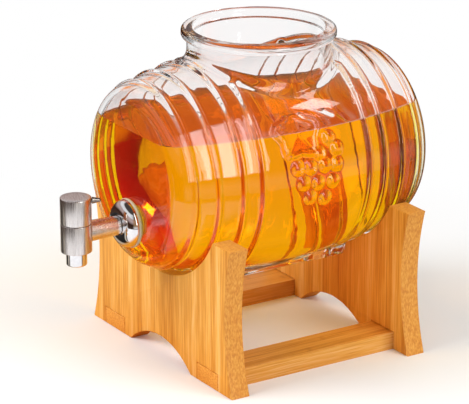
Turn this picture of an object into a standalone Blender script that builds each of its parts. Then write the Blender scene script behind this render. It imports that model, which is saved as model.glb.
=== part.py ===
"""A glass barrel drink dispenser with a turning steel tap, lying in a bamboo cradle.

Lengths are in metres and +Z is up. The barrel's axis runs along X with the tap at the -X end.
The origin lies on the table, at the centre of the box that holds the whole dispenser.
"""

import math

import bmesh
import bpy
from mathutils import Matrix, Vector

for old in list(bpy.data.objects):
    bpy.data.objects.remove(old, do_unlink=True)

MM = 0.001

# Clearances
SEAT_GAP = 0.3 * MM  # between two pieces that bear on each other
OVERRUN = 4.0 * MM  # how far a cutter runs past the wall it cuts
MERGE_DISTANCE = 0.001 * MM  # points closer than this are one point

# Bamboo cradle
CRADLE_LENGTH = 162.0 * MM  # over the outer faces of the two panels
CRADLE_WIDTH = 190.0 * MM  # at the feet
CRADLE_OFFSET = 1.5 * MM  # barrel centre ahead of the cradle centre, along X
PANEL_THICKNESS = 15.0 * MM
EAR_HEIGHT = 106.0 * MM
EAR_INSET = 2.0 * MM  # how much narrower each side is at the ears than at the feet
WAIST_DEPTH = 8.5 * MM  # hollow of the side curve
SADDLE_FLOOR = 65.0 * MM  # lowest point of the saddle, above the table
SADDLE_RELIEF = 8.5 * MM  # saddle radius beyond the glass that it carries
ARCH_WIDTH = 82.0 * MM
ARCH_HEIGHT = 15.5 * MM
BAR_WIDTH = 27.2 * MM
BAR_HEIGHT = 12.5 * MM
BAR_INSET = 18.0 * MM  # from the side of the foot to the bar's slot
BOARD_EDGE = 0.9 * MM  # rounding of the boards' edges

# Glass barrel
VESSEL_LENGTH = 210.0 * MM
BELLY_RADIUS = 78.0 * MM
SHOULDER_DROP = 13.0 * MM  # from the belly to where the end corner starts
END_CORNER = 13.0 * MM
WALL = 4.5 * MM
END_WALL = 5.0 * MM
HOOP_PLACES = (44.0 * MM, 58.0 * MM, 75.5 * MM, 92.0 * MM)  # each side of the middle
HOOP_WIDTH = 4.4 * MM
HOOP_HEIGHT = 2.0 * MM
HOOP_CREST_SHARE = 0.4  # crest width as a share of the hoop's foot
FOOT_LENGTH = 124.0 * MM
FOOT_WIDTH = 56.0 * MM
FOOT_DEPTH = 1.2 * MM  # below the belly
FOOT_CORNER = 9.0 * MM
FOOT_EDGE = 2.0 * MM
NECK_RADIUS = 50.5 * MM
MOUTH_RADIUS = 46.0 * MM
NECK_HEIGHT = 15.0 * MM  # from the top of the belly to the rim
NECK_FILLET = 7.0 * MM
BLEND_SINK = 0.4 * MM  # start of the neck's blend below the barrel's surface
RIM_RADIUS = 54.5 * MM
RIM_HEIGHT = 7.5 * MM
RIM_ROUND = 3.0 * MM
MOUTH_EDGE = 1.2 * MM

# Tap, seen from outside
TAP_REACH = 43.0 * MM  # from the barrel's end face to the tap's own axis
TAP_CLEAR = 2.1 * MM  # flat glass left below the gasket
TAP_RADIUS = 10.8 * MM
TAP_EDGE = 0.5 * MM
BODY_HEIGHT = 20.0 * MM
INLET_HEIGHT = 12.5 * MM  # above the underside of the body
CAP_HEIGHT = 18.7 * MM
LEVER_LENGTH = 6.5 * MM  # outside the cap
LEVER_ROOT_RADIUS = 2.4 * MM
LEVER_TIP_RADIUS = 1.5 * MM
LEVER_DROP = 2.9 * MM  # below the top of the cap
LEVER_REST_ANGLE = math.radians(-25.0)
NOZZLE_RADIUS = 7.2 * MM
NOZZLE_DROP = 10.0 * MM
NOZZLE_EDGE = 1.2 * MM

# Tap, inside
BORE_RADIUS = 3.6 * MM  # the drink's way through
CHAMBER_RADIUS = 8.0 * MM
CHAMBER_FLOOR = 5.9 * MM  # above the underside of the body
SOCKET_RADIUS = 5.9 * MM
SOCKET_DEPTH = 4.0 * MM
SLEEVE_WALL = 1.5 * MM
SLEEVE_FLOOR = 1.4 * MM
PLUG_HEIGHT = 8.8 * MM
PLUG_PORT_RADIUS = 3.4 * MM
SPINDLE_RADIUS = 3.2 * MM
SPINDLE_FLAT = 0.8 * MM  # depth of the flat that the lever's inner end bears on
CAP_ROOF = 1.9 * MM
SEAL_THICKNESS = 1.4 * MM
NOZZLE_SEAL_THICKNESS = 1.0 * MM
BONNET_HEIGHT = 3.0 * MM
WASHER_THICKNESS = 1.2 * MM
LEVER_STEM_RADIUS = 1.7 * MM

# Shank and its clamping pieces
SHANK_RADIUS = 7.3 * MM  # at the tap body
SHANK_NECK_RADIUS = 6.8 * MM  # at the rosette
SPIGOT_RADIUS = 4.9 * MM
THREAD_RADIUS = 6.0 * MM
THREAD_END = 3.0 * MM  # beyond the nut
TAP_HOLE_RADIUS = 7.0 * MM
ROSETTE_RADIUS = 17.0 * MM
ROSETTE_DEPTH = 7.5 * MM
ROSETTE_FACE_RADIUS = 8.2 * MM
ROSETTE_WALL = 1.6 * MM
GASKET_RADIUS = 17.4 * MM
GASKET_THICKNESS = 2.5 * MM
INNER_GASKET_RADIUS = 13.0 * MM
BACKING_RADIUS = 12.5 * MM
BACKING_THICKNESS = 1.5 * MM
NUT_ACROSS_FLATS = 20.0 * MM
NUT_THICKNESS = 6.0 * MM
NUT_CHAMFER = 1.0 * MM

# Facets round each kind of turned piece
GLASS_STEPS = 48
TAP_STEPS = 36
SMALL_STEPS = 24
ARC_STEPS = 5
HALF_STEP_SHARE = 0.5  # turns the neck's facets so that none lines up with the barrel's

# Places worked out from the sizes
vessel_x = (TAP_REACH + TAP_RADIUS) / 2
end_x = vessel_x - VESSEL_LENGTH / 2
tap_x = end_x - TAP_REACH
cradle_x = vessel_x - CRADLE_OFFSET
shoulder_reach = VESSEL_LENGTH / 2 - END_CORNER
bulge_arc_radius = (shoulder_reach**2 + SHOULDER_DROP**2) / (2 * SHOULDER_DROP)
flat_end_radius = BELLY_RADIUS - SHOULDER_DROP - END_CORNER
neck_rise = BELLY_RADIUS + NECK_HEIGHT
tap_drop = flat_end_radius - GASKET_RADIUS - TAP_CLEAR


def bulge_radius(reach):
    """Radius of the plain glass at a distance from the barrel's middle: a shallow arc."""
    return BELLY_RADIUS - bulge_arc_radius + math.sqrt(bulge_arc_radius**2 - reach**2)


def glass_radius(reach):
    """Radius of the plain glass, also over the rounded corner at the end."""
    if reach <= shoulder_reach:
        return bulge_radius(reach)
    return flat_end_radius + math.sqrt(END_CORNER**2 - (reach - shoulder_reach) ** 2)


def carried_radius():
    """Largest radius of glass or hoop that lies over a panel."""
    inner = CRADLE_LENGTH / 2 - PANEL_THICKNESS - abs(CRADLE_OFFSET)
    outer = CRADLE_LENGTH / 2 + abs(CRADLE_OFFSET)
    widest = bulge_radius(inner)
    for place in HOOP_PLACES:
        if inner - HOOP_WIDTH / 2 < place < outer + HOOP_WIDTH / 2:
            widest = max(widest, bulge_radius(place - HOOP_WIDTH / 2) + HOOP_HEIGHT)
    return widest


rest_radius = carried_radius()
saddle_radius = rest_radius + SADDLE_RELIEF
vessel_z = SADDLE_FLOOR + SEAT_GAP + rest_radius
tap_z = vessel_z - tap_drop
body_bottom_z = tap_z - INLET_HEIGHT

axis_foot = Vector((tap_x, 0, body_bottom_z))  # on the tap's own axis, at the body's underside

X_AXIS = Vector((1, 0, 0))
Y_AXIS = Vector((0, 1, 0))
Z_AXIS = Vector((0, 0, 1))


def material(name, colour, roughness, metallic=0.0, transmission=0.0):
    made = bpy.data.materials.new(name)
    made.use_nodes = True
    shader = made.node_tree.nodes["Principled BSDF"]
    shader.inputs["Base Color"].default_value = (*colour, 1.0)
    shader.inputs["Roughness"].default_value = roughness
    shader.inputs["Metallic"].default_value = metallic
    shader.inputs["Transmission Weight"].default_value = transmission
    return made


BAMBOO = ((0.71, 0.40, 0.13), 0.45)
CLEAR_GLASS = ((0.96, 0.97, 0.97), 0.02, 0.0, 1.0)
BRUSHED_STEEL = ((0.52, 0.50, 0.48), 0.32, 1.0)
POLISHED_CHROME = ((0.75, 0.75, 0.76), 0.06, 1.0)
SILICONE = ((0.82, 0.82, 0.80), 0.5)
WHITE_PLASTIC = ((0.88, 0.88, 0.86), 0.35)
BLACK_RUBBER = ((0.03, 0.03, 0.03), 0.6)


def finished(name, mesh_maker, finish, smooth_angle=math.radians(35)):
    """Turn a bmesh into a named object with its own material and smooth round faces."""
    mesh = bpy.data.meshes.new(name)
    mesh_maker.normal_update()
    mesh_maker.to_mesh(mesh)
    mesh_maker.free()
    mesh.shade_smooth()
    mesh.set_sharp_from_angle(angle=smooth_angle)
    made = bpy.data.objects.new(name, mesh)
    bpy.context.collection.objects.link(made)
    if finish is None:
        made.hide_render = True
        made.display_type = "WIRE"
    else:
        mesh.materials.append(material(name, *finish))
    return made


def turned(name, outline, axis, centre, steps, finish, closed=False):
    """Spin an outline of (along, radius) points about an axis through centre.

    A closed outline is a ring's section; an open one gets a flat cap at each end.
    """
    outward = Z_AXIS if axis == X_AXIS else X_AXIS
    shape = bmesh.new()
    points = [shape.verts.new(centre + axis * along + outward * radius) for along, radius in outline]
    for first, second in zip(points, points[1:]):
        shape.edges.new((first, second))
    if closed:
        shape.edges.new((points[-1], points[0]))
    bmesh.ops.spin(
        shape,
        geom=shape.verts[:] + shape.edges[:],
        cent=centre,
        axis=axis,
        angle=math.tau,
        steps=steps,
        use_merge=True,
    )
    bmesh.ops.remove_doubles(shape, verts=shape.verts[:], dist=MERGE_DISTANCE)
    bmesh.ops.holes_fill(shape, edges=[edge for edge in shape.edges if edge.is_boundary], sides=0)
    bmesh.ops.recalc_face_normals(shape, faces=shape.faces[:])
    return finished(name, shape, finish)


def ring(name, inner, outer, start, end, axis, centre, steps, finish):
    """A plain washer or tube between two places along its axis."""
    section = [(start, inner), (start, outer), (end, outer), (end, inner)]
    return turned(name, section, axis, centre, steps, finish, closed=True)


def rod(name, radius, start, end, axis, centre, steps, finish=None):
    """A plain solid cylinder, mostly used as a cutter."""
    return turned(name, [(start, radius), (end, radius)], axis, centre, steps, finish)


def quarter(centre_along, centre_radius, size, start_degrees, end_degrees, steps=ARC_STEPS):
    """Points of an arc in an outline, by angle from the axis direction."""
    angles = [
        math.radians(start_degrees + (end_degrees - start_degrees) * i / steps) for i in range(steps + 1)
    ]
    return [(centre_along + size * math.cos(a), centre_radius + size * math.sin(a)) for a in angles]


def boolean(target, other, operation):
    step = target.modifiers.new(other.name, "BOOLEAN")
    step.operation = operation
    step.solver = "EXACT"
    step.object = other


def cut(target, other):
    boolean(target, other, "DIFFERENCE")


def join(target, other):
    boolean(target, other, "UNION")


def child_of(parent, *children):
    """Parent the pieces to an empty without moving them."""
    for child in children:
        child.parent = parent
        child.matrix_parent_inverse = Matrix.Translation(-parent.location)


def marker(name, place):
    made = bpy.data.objects.new(name, None)
    made.location = place
    made.hide_render = True
    bpy.context.collection.objects.link(made)
    return made


def arc_by_hollow(start, end, hollow, steps):
    """Points of an arc from start to end whose middle bends towards y = 0 by the hollow."""
    start, end = Vector(start), Vector(end)
    middle = (start + end) / 2
    chord = (end - start).length
    radius = (chord**2 / 4 + hollow**2) / (2 * hollow)
    inward = Vector((-math.copysign(1, middle.x), 0))
    along = (end - start).normalized()
    inward = (inward - along * inward.dot(along)).normalized()
    centre = middle - inward * (radius - hollow)
    half_angle = math.asin(chord / 2 / radius)
    angles = [half_angle * (2 * i / steps - 1) for i in range(steps + 1)]
    return [centre + along * radius * math.sin(a) + inward * radius * math.cos(a) for a in angles]


def panel_outline():
    """Half of the panel's outline as (y, z), from the arch's crown to the saddle's floor."""
    arch_radius = (ARCH_WIDTH**2 / 4 + ARCH_HEIGHT**2) / (2 * ARCH_HEIGHT)
    arch_angle = math.asin(ARCH_WIDTH / 2 / arch_radius)
    arch_steps = 2 * ARC_STEPS
    points = []
    for i in range(arch_steps + 1):
        angle = arch_angle * i / arch_steps
        drop = arch_radius - ARCH_HEIGHT
        points.append((arch_radius * math.sin(angle), arch_radius * math.cos(angle) - drop))
    points[-1] = (ARCH_WIDTH / 2, 0)
    slot_outer = CRADLE_WIDTH / 2 - BAR_INSET + SEAT_GAP
    slot_inner = slot_outer - BAR_WIDTH - 2 * SEAT_GAP
    slot_top = BAR_HEIGHT + SEAT_GAP
    points += [(slot_inner, 0), (slot_inner, slot_top), (slot_outer, slot_top), (slot_outer, 0)]
    foot = (CRADLE_WIDTH / 2, 0)
    ear = (CRADLE_WIDTH / 2 - EAR_INSET, EAR_HEIGHT)
    points += [tuple(p) for p in arc_by_hollow(foot, ear, WAIST_DEPTH, 2 * ARC_STEPS)]
    centre_z = SADDLE_FLOOR + saddle_radius
    tip_angle = math.acos((centre_z - EAR_HEIGHT) / saddle_radius)
    saddle_steps = 3 * ARC_STEPS
    for i in range(saddle_steps + 1):
        angle = tip_angle * (1 - i / saddle_steps)
        points.append((saddle_radius * math.sin(angle), centre_z - saddle_radius * math.cos(angle)))
    return points


def panel(name, outer_x, inward):
    """One board: its outline in the YZ plane, extruded along X and eased at every edge."""
    half = panel_outline()
    mirrored = [(-y, z) for y, z in reversed(half[1:-1])]
    shape = bmesh.new()
    corners = [shape.verts.new((outer_x, y, z)) for y, z in half + mirrored]
    face = shape.faces.new(corners)
    grown = bmesh.ops.extrude_face_region(shape, geom=[face])
    moved = [v for v in grown["geom"] if isinstance(v, bmesh.types.BMVert)]
    bmesh.ops.translate(shape, verts=moved, vec=X_AXIS * PANEL_THICKNESS * inward)
    bmesh.ops.recalc_face_normals(shape, faces=shape.faces[:])
    made = finished(name, shape, BAMBOO)
    ease_edges(made)
    return made


def ease_edges(board):
    easing = board.modifiers.new("eased_edges", "BEVEL")
    easing.width = BOARD_EDGE
    easing.segments = 2
    easing.limit_method = "ANGLE"
    easing.angle_limit = math.radians(40)


def block(name, low, high, finish):
    """A box between two corners."""
    low, high = Vector(low), Vector(high)
    size = high - low
    shape = bmesh.new()
    bmesh.ops.create_cube(shape, size=1.0)
    bmesh.ops.scale(shape, verts=shape.verts[:], vec=size)
    bmesh.ops.translate(shape, verts=shape.verts[:], vec=(low + high) / 2)
    return finished(name, shape, finish)


def bar(name, side):
    """A bar that runs through both panels' slots, flush with their outer faces."""
    outer_y = side * (CRADLE_WIDTH / 2 - BAR_INSET)
    inner_y = outer_y - side * BAR_WIDTH
    low = (cradle_x - CRADLE_LENGTH / 2, min(inner_y, outer_y), 0)
    high = (cradle_x + CRADLE_LENGTH / 2, max(inner_y, outer_y), BAR_HEIGHT)
    made = block(name, low, high, BAMBOO)
    ease_edges(made)
    return made


def hooped_outline():
    """The barrel's outside from end to end: flat end, corner, bulge with raised hoops."""
    half = [(0.0, glass_radius(0.0))]
    foot, crest = HOOP_WIDTH / 2, HOOP_WIDTH * HOOP_CREST_SHARE / 2
    reached = 0.0
    for place in HOOP_PLACES:
        if place - reached > 4 * HOOP_WIDTH:
            middle = (place + reached) / 2
            half.append((middle, glass_radius(middle)))
        half.append((place - foot, glass_radius(place - foot)))
        half.append((place - crest, glass_radius(place - crest) + HOOP_HEIGHT))
        half.append((place + crest, glass_radius(place + crest) + HOOP_HEIGHT))
        half.append((place + foot, glass_radius(place + foot)))
        reached = place + foot
    past_shoulder = max(reached - shoulder_reach, 0.0)
    start_angle = math.degrees(math.acos(past_shoulder / END_CORNER))
    half += quarter(shoulder_reach, flat_end_radius, END_CORNER, start_angle, 0)[1:]
    return [(-along, radius) for along, radius in reversed(half[1:])] + half


def hollow_outline():
    """The barrel's inside: the bulge less the wall, with the end corner less the wall."""
    corner = END_CORNER - WALL
    inner_end = VESSEL_LENGTH / 2 - END_WALL
    corner_start = inner_end - corner
    reaches = [corner_start * i / ARC_STEPS for i in range(ARC_STEPS)]
    half = [(reach, bulge_radius(reach) - WALL) for reach in reaches]
    flat_radius = bulge_radius(corner_start) - WALL - corner
    half += quarter(corner_start, flat_radius, corner, 90, 0)
    return [(-along, radius) for along, radius in reversed(half[1:])] + half


def neck():
    """The round neck from deep in the barrel to the rim, with the blend where it leaves the bulge.

    Barrel and neck wall meet at a different height at each angle round the neck. There the
    section is a smooth curve from a point out on the barrel, aimed at the meeting point, to a
    point straight above that on the wall. The rounded rim is the same all round.
    """
    shape = bmesh.new()
    outer = NECK_RADIUS + NECK_FILLET
    bead_bottom = neck_rise - RIM_HEIGHT
    bead_middle = RIM_RADIUS - RIM_ROUND
    bead = quarter(bead_bottom + RIM_ROUND, bead_middle, RIM_ROUND, 180, 90)
    bead += quarter(neck_rise - RIM_ROUND, bead_middle, RIM_ROUND, 90, 0)
    rows = []
    for i in range(GLASS_STEPS):
        angle = math.tau * (i + HALF_STEP_SHARE) / GLASS_STEPS
        away = Vector((math.cos(angle), math.sin(angle), 0))
        meeting, skirt = [
            math.sqrt(bulge_radius(away.x * distance) ** 2 - (away.y * distance) ** 2)
            for distance in (NECK_RADIUS, outer)
        ]
        start = Vector((outer, skirt - BLEND_SINK))
        aim = Vector((NECK_RADIUS, meeting))
        end = Vector((NECK_RADIUS, meeting + NECK_FILLET))
        section = [(MOUTH_RADIUS / 2, 0.0)]
        for j in range(ARC_STEPS + 1):
            t = j / ARC_STEPS
            section.append(tuple(start * (1 - t) ** 2 + aim * 2 * t * (1 - t) + end * t**2))
        section.append((NECK_RADIUS, bead_bottom))
        section += [(radius, height) for height, radius in bead]
        rows.append([shape.verts.new(away * distance + Z_AXIS * height) for distance, height in section])
    for here, there in zip(rows, rows[1:] + rows[:1]):
        for j in range(1, len(here)):
            shape.faces.new((here[j], there[j], there[j - 1], here[j - 1]))
    bmesh.ops.holes_fill(shape, edges=[edge for edge in shape.edges if edge.is_boundary], sides=0)
    bmesh.ops.translate(shape, verts=shape.verts[:], vec=(vessel_x, 0, vessel_z))
    bmesh.ops.recalc_face_normals(shape, faces=shape.faces[:])
    return finished("neck_guide", shape, None)


def foot_block():
    """The flat moulded foot under the belly, with round corners."""
    half_length, half_width = FOOT_LENGTH / 2, FOOT_WIDTH / 2
    bottom = vessel_z - BELLY_RADIUS - FOOT_DEPTH
    top = vessel_z - BELLY_RADIUS + 3 * FOOT_CORNER
    made = block(
        "foot_guide",
        (vessel_x - half_length, -half_width, bottom),
        (vessel_x + half_length, half_width, top),
        None,
    )
    shape = bmesh.new()
    shape.from_mesh(made.data)
    upright = [e for e in shape.edges if abs((e.verts[0].co - e.verts[1].co).normalized().z) > 0.9]
    bmesh.ops.bevel(shape, geom=upright, offset=FOOT_CORNER, segments=ARC_STEPS, affect="EDGES")
    under = [e for e in shape.edges if all(v.co.z < bottom + FOOT_EDGE for v in e.verts)]
    bmesh.ops.bevel(shape, geom=under, offset=FOOT_EDGE, segments=2, affect="EDGES")
    bmesh.ops.recalc_face_normals(shape, faces=shape.faces[:])
    shape.to_mesh(made.data)
    shape.free()
    return made


def glass_barrel():
    """The vessel: bulge, neck and foot joined, then hollowed, opened and drilled for the tap."""
    centre = Vector((vessel_x, 0, vessel_z))
    made = turned("glass_barrel", hooped_outline(), X_AXIS, centre, GLASS_STEPS, CLEAR_GLASS)
    join(made, neck())
    join(made, foot_block())
    cut(made, turned("hollow_cutter", hollow_outline(), X_AXIS, centre, GLASS_STEPS, None))
    mouth = [
        (0.0, MOUTH_RADIUS),
        (neck_rise - MOUTH_EDGE, MOUTH_RADIUS),
        (neck_rise + OVERRUN, MOUTH_RADIUS + MOUTH_EDGE + OVERRUN),
    ]
    mouth_cutter = turned("mouth_cutter", mouth, Z_AXIS, Vector((0, 0, 0)), GLASS_STEPS, None)
    half_step = math.tau * HALF_STEP_SHARE / GLASS_STEPS
    mouth_cutter.matrix_world = Matrix.Translation(centre) @ Matrix.Rotation(half_step, 4, "Z")
    cut(made, mouth_cutter)
    hole_centre = Vector((end_x, 0, tap_z))
    drill = (-OVERRUN, END_WALL + OVERRUN, X_AXIS, hole_centre, SMALL_STEPS)
    cut(made, rod("tap_hole_cutter", TAP_HOLE_RADIUS, *drill))
    return made


def shank_places():
    """Where each clamped piece starts along X, from the tap body's axis towards the barrel."""
    places = {"glass_outside": TAP_REACH}
    places["gasket"] = TAP_REACH - SEAT_GAP - GASKET_THICKNESS
    places["rosette"] = places["gasket"] - SEAT_GAP
    places["shoulder"] = places["rosette"] - ROSETTE_DEPTH - SEAT_GAP
    places["glass_inside"] = TAP_REACH + END_WALL
    places["inner_gasket"] = places["glass_inside"] + SEAT_GAP
    places["backing"] = places["inner_gasket"] + GASKET_THICKNESS + SEAT_GAP
    places["nut"] = places["backing"] + BACKING_THICKNESS + SEAT_GAP
    places["thread_end"] = places["nut"] + NUT_THICKNESS + THREAD_END
    return places


def tap_shank(places, centre):
    """The tube between tap and barrel: a spigot, a slim taper coped to the tap, a threaded length."""
    outline = [
        (TAP_RADIUS / 2, SHANK_RADIUS),
        (places["shoulder"], SHANK_NECK_RADIUS),
        (places["shoulder"], THREAD_RADIUS),
        (places["thread_end"] - TAP_EDGE, THREAD_RADIUS),
        (places["thread_end"], THREAD_RADIUS - TAP_EDGE),
    ]
    made = turned("tap_shank", outline, X_AXIS, centre, SMALL_STEPS, POLISHED_CHROME)
    coping = (-BODY_HEIGHT, BODY_HEIGHT, Z_AXIS, centre, TAP_STEPS)
    cut(made, rod("coping_cutter", TAP_RADIUS + SEAT_GAP, *coping))
    start = CHAMBER_RADIUS + SEAT_GAP
    spigot = (start, TAP_RADIUS + OVERRUN, X_AXIS, centre, SMALL_STEPS)
    join(made, rod("spigot_guide", SPIGOT_RADIUS, *spigot))
    bore = (start - OVERRUN, places["thread_end"] + OVERRUN, X_AXIS, centre, SMALL_STEPS)
    cut(made, rod("shank_bore_cutter", BORE_RADIUS, *bore))
    return made


def dome(back, depth, face_radius, radius):
    """Points of a quarter ellipse from the rosette's rim at the back to its flat face."""
    angles = [math.pi / 2 * i / (ARC_STEPS + 1) for i in range(ARC_STEPS + 2)]
    spread = radius - face_radius
    return [(back - depth * math.sin(a), face_radius + spread * math.cos(a)) for a in angles]


def rosette(places, centre):
    """A pressed dome, hollow behind, that hides the gasket."""
    back, front = places["rosette"], places["rosette"] - ROSETTE_DEPTH
    outside = dome(back, ROSETTE_DEPTH, ROSETTE_FACE_RADIUS, ROSETTE_RADIUS)
    inside = dome(back, ROSETTE_DEPTH - ROSETTE_WALL, ROSETTE_FACE_RADIUS, ROSETTE_RADIUS - ROSETTE_WALL)
    hole = THREAD_RADIUS + SEAT_GAP
    outline = outside + [(front, hole), (front + ROSETTE_WALL, hole)] + inside[::-1]
    return turned("escutcheon", outline, X_AXIS, centre, TAP_STEPS, POLISHED_CHROME, closed=True)


def lock_nut(places, centre):
    """A hexagon nut with turned-down corners and a bore that clears the thread."""
    corner_radius = NUT_ACROSS_FLATS / 2 / math.cos(math.pi / 6)
    shape = bmesh.new()
    bmesh.ops.create_cone(
        shape,
        segments=6,
        radius1=corner_radius,
        radius2=corner_radius,
        depth=NUT_THICKNESS,
        cap_ends=True,
        matrix=Matrix.Rotation(math.pi / 2, 4, "Y"),
    )
    middle = centre + X_AXIS * (places["nut"] + NUT_THICKNESS / 2)
    bmesh.ops.translate(shape, verts=shape.verts[:], vec=middle)
    made = finished("lock_nut", shape, BRUSHED_STEEL)
    half = NUT_THICKNESS / 2
    slope = corner_radius - NUT_CHAMFER
    lens = [
        (-half - OVERRUN, slope - OVERRUN),
        (-half + NUT_CHAMFER / 2, corner_radius),
        (-half + NUT_CHAMFER / 2, corner_radius + OVERRUN),
        (half - NUT_CHAMFER / 2, corner_radius + OVERRUN),
        (half - NUT_CHAMFER / 2, corner_radius),
        (half + OVERRUN, slope - OVERRUN),
    ]
    boolean(made, turned("nut_corner_guide", lens, X_AXIS, middle, TAP_STEPS, None), "INTERSECT")
    bore = (-half - OVERRUN, half + OVERRUN, X_AXIS, middle, SMALL_STEPS)
    cut(made, rod("nut_bore_cutter", THREAD_RADIUS + SEAT_GAP, *bore))
    return made


def tap_body():
    """The lower cylinder: a chamber open at the top, a side inlet and a socket for the nozzle."""
    section = [
        (0.0, SOCKET_RADIUS),
        (0.0, TAP_RADIUS - TAP_EDGE),
        (TAP_EDGE, TAP_RADIUS),
        (BODY_HEIGHT - TAP_EDGE, TAP_RADIUS),
        (BODY_HEIGHT, TAP_RADIUS - TAP_EDGE),
        (BODY_HEIGHT, CHAMBER_RADIUS),
        (CHAMBER_FLOOR, CHAMBER_RADIUS),
        (CHAMBER_FLOOR, BORE_RADIUS),
        (SOCKET_DEPTH, BORE_RADIUS),
        (SOCKET_DEPTH, SOCKET_RADIUS),
    ]
    made = turned("tap_body", section, Z_AXIS, axis_foot, TAP_STEPS, BRUSHED_STEEL, closed=True)
    inlet_foot = axis_foot + Z_AXIS * INLET_HEIGHT
    inlet = (CHAMBER_RADIUS / 2, TAP_RADIUS + OVERRUN, X_AXIS, inlet_foot, SMALL_STEPS)
    cut(made, rod("inlet_cutter", SPIGOT_RADIUS + SEAT_GAP, *inlet))
    return made


def outlet_nozzle():
    spigot = SOCKET_RADIUS - SEAT_GAP
    top = SOCKET_DEPTH - 2 * SEAT_GAP - NOZZLE_SEAL_THICKNESS
    outline = [
        (-NOZZLE_DROP, BORE_RADIUS),
        (-NOZZLE_DROP, NOZZLE_RADIUS - NOZZLE_EDGE),
        (-NOZZLE_DROP + NOZZLE_EDGE, NOZZLE_RADIUS),
        (-SEAT_GAP, NOZZLE_RADIUS),
        (-SEAT_GAP, spigot),
        (top, spigot),
        (top, BORE_RADIUS),
    ]
    return turned("outlet_nozzle", outline, Z_AXIS, axis_foot, SMALL_STEPS, POLISHED_CHROME, closed=True)


def nozzle_seal():
    top = SOCKET_DEPTH - SEAT_GAP
    outer = SOCKET_RADIUS - SEAT_GAP
    start = top - NOZZLE_SEAL_THICKNESS
    return ring("nozzle_seal", BORE_RADIUS, outer, start, top, Z_AXIS, axis_foot, SMALL_STEPS, BLACK_RUBBER)


def valve_heights():
    """Heights above the body's underside, from the chamber floor up to the cap."""
    heights = {"sleeve": CHAMBER_FLOOR + SEAT_GAP}
    heights["plug"] = heights["sleeve"] + SLEEVE_FLOOR + SEAT_GAP
    heights["plug_top"] = heights["plug"] + PLUG_HEIGHT
    heights["seal"] = heights["plug_top"] + SEAT_GAP
    heights["bonnet"] = heights["seal"] + SEAL_THICKNESS + SEAT_GAP
    heights["washer"] = heights["bonnet"] + BONNET_HEIGHT + SEAT_GAP
    heights["recess_top"] = heights["washer"] + WASHER_THICKNESS + SEAT_GAP
    heights["cap_bottom"] = BODY_HEIGHT + SEAT_GAP
    heights["cap_top"] = heights["cap_bottom"] + CAP_HEIGHT
    heights["lever"] = heights["cap_top"] - LEVER_DROP
    heights["spindle_top"] = heights["cap_top"] - CAP_ROOF - SEAT_GAP
    return heights


def seat_sleeve(heights):
    """A slippery cup that seals the plug, with a window to the inlet and a hole in its floor."""
    outer = CHAMBER_RADIUS - SEAT_GAP
    inner = outer - SLEEVE_WALL
    floor = heights["sleeve"] + SLEEVE_FLOOR
    outline = [
        (heights["sleeve"], BORE_RADIUS),
        (heights["sleeve"], outer),
        (heights["plug_top"], outer),
        (heights["plug_top"], inner),
        (floor, inner),
        (floor, BORE_RADIUS),
    ]
    made = turned("seat_sleeve", outline, Z_AXIS, axis_foot, SMALL_STEPS, WHITE_PLASTIC, closed=True)
    window = axis_foot + Z_AXIS * INLET_HEIGHT
    cut(made, rod("window_cutter", BORE_RADIUS, inner / 2, outer + OVERRUN, X_AXIS, window, SMALL_STEPS))
    return made


def valve_plug(heights):
    """A plug and spindle in one, bored in an L: up from the bottom and out at the side.

    Shut, the side port looks towards -Y; a quarter turn brings it round to the inlet.
    """
    radius = CHAMBER_RADIUS - SLEEVE_WALL - 2 * SEAT_GAP
    bore_top = INLET_HEIGHT + PLUG_PORT_RADIUS + SEAT_GAP
    outline = [
        (bore_top, BORE_RADIUS),
        (heights["plug"], BORE_RADIUS),
        (heights["plug"], radius),
        (heights["plug_top"], radius),
        (heights["plug_top"], SPINDLE_RADIUS),
        (heights["spindle_top"], SPINDLE_RADIUS),
    ]
    made = turned("valve_plug", outline, Z_AXIS, axis_foot, SMALL_STEPS, BRUSHED_STEEL)
    port = axis_foot + Z_AXIS * INLET_HEIGHT
    cut(made, rod("side_port_cutter", PLUG_PORT_RADIUS, -radius - OVERRUN, 0, Y_AXIS, port, SMALL_STEPS))
    flat_low = heights["lever"] - 2 * LEVER_STEM_RADIUS
    flat = block(
        "spindle_flat_cutter",
        (SPINDLE_RADIUS - SPINDLE_FLAT, -SPINDLE_RADIUS - OVERRUN, flat_low),
        (SPINDLE_RADIUS + OVERRUN, SPINDLE_RADIUS + OVERRUN, heights["spindle_top"] + OVERRUN),
        None,
    )
    flat.matrix_world = Matrix.Translation(axis_foot) @ Matrix.Rotation(LEVER_REST_ANGLE, 4, "Z")
    cut(made, flat)
    return made


def turning_cap(heights):
    """The upper cylinder, which turns: hollow underneath, with a hole for the lever."""
    start = heights["cap_bottom"]
    top = heights["cap_top"]
    recess = CHAMBER_RADIUS
    hole = SPINDLE_RADIUS + SEAT_GAP
    outline = [
        (start, recess),
        (start, TAP_RADIUS - TAP_EDGE),
        (start + TAP_EDGE, TAP_RADIUS),
        (top - TAP_EDGE, TAP_RADIUS),
        (top, TAP_RADIUS - TAP_EDGE),
    ]
    roof = [
        (top - CAP_ROOF, hole),
        (heights["recess_top"], hole),
        (heights["recess_top"], recess),
    ]
    made = turned("turning_cap", roof + outline, Z_AXIS, axis_foot, TAP_STEPS, BRUSHED_STEEL)
    lever_foot = axis_foot + Z_AXIS * heights["lever"]
    drill = rod(
        "lever_hole_cutter",
        LEVER_STEM_RADIUS + SEAT_GAP,
        hole / 2,
        TAP_RADIUS + OVERRUN,
        X_AXIS,
        Vector((0, 0, 0)),
        SMALL_STEPS,
    )
    drill.matrix_world = Matrix.Translation(lever_foot) @ Matrix.Rotation(LEVER_REST_ANGLE, 4, "Z")
    cut(made, drill)
    return made


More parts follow.
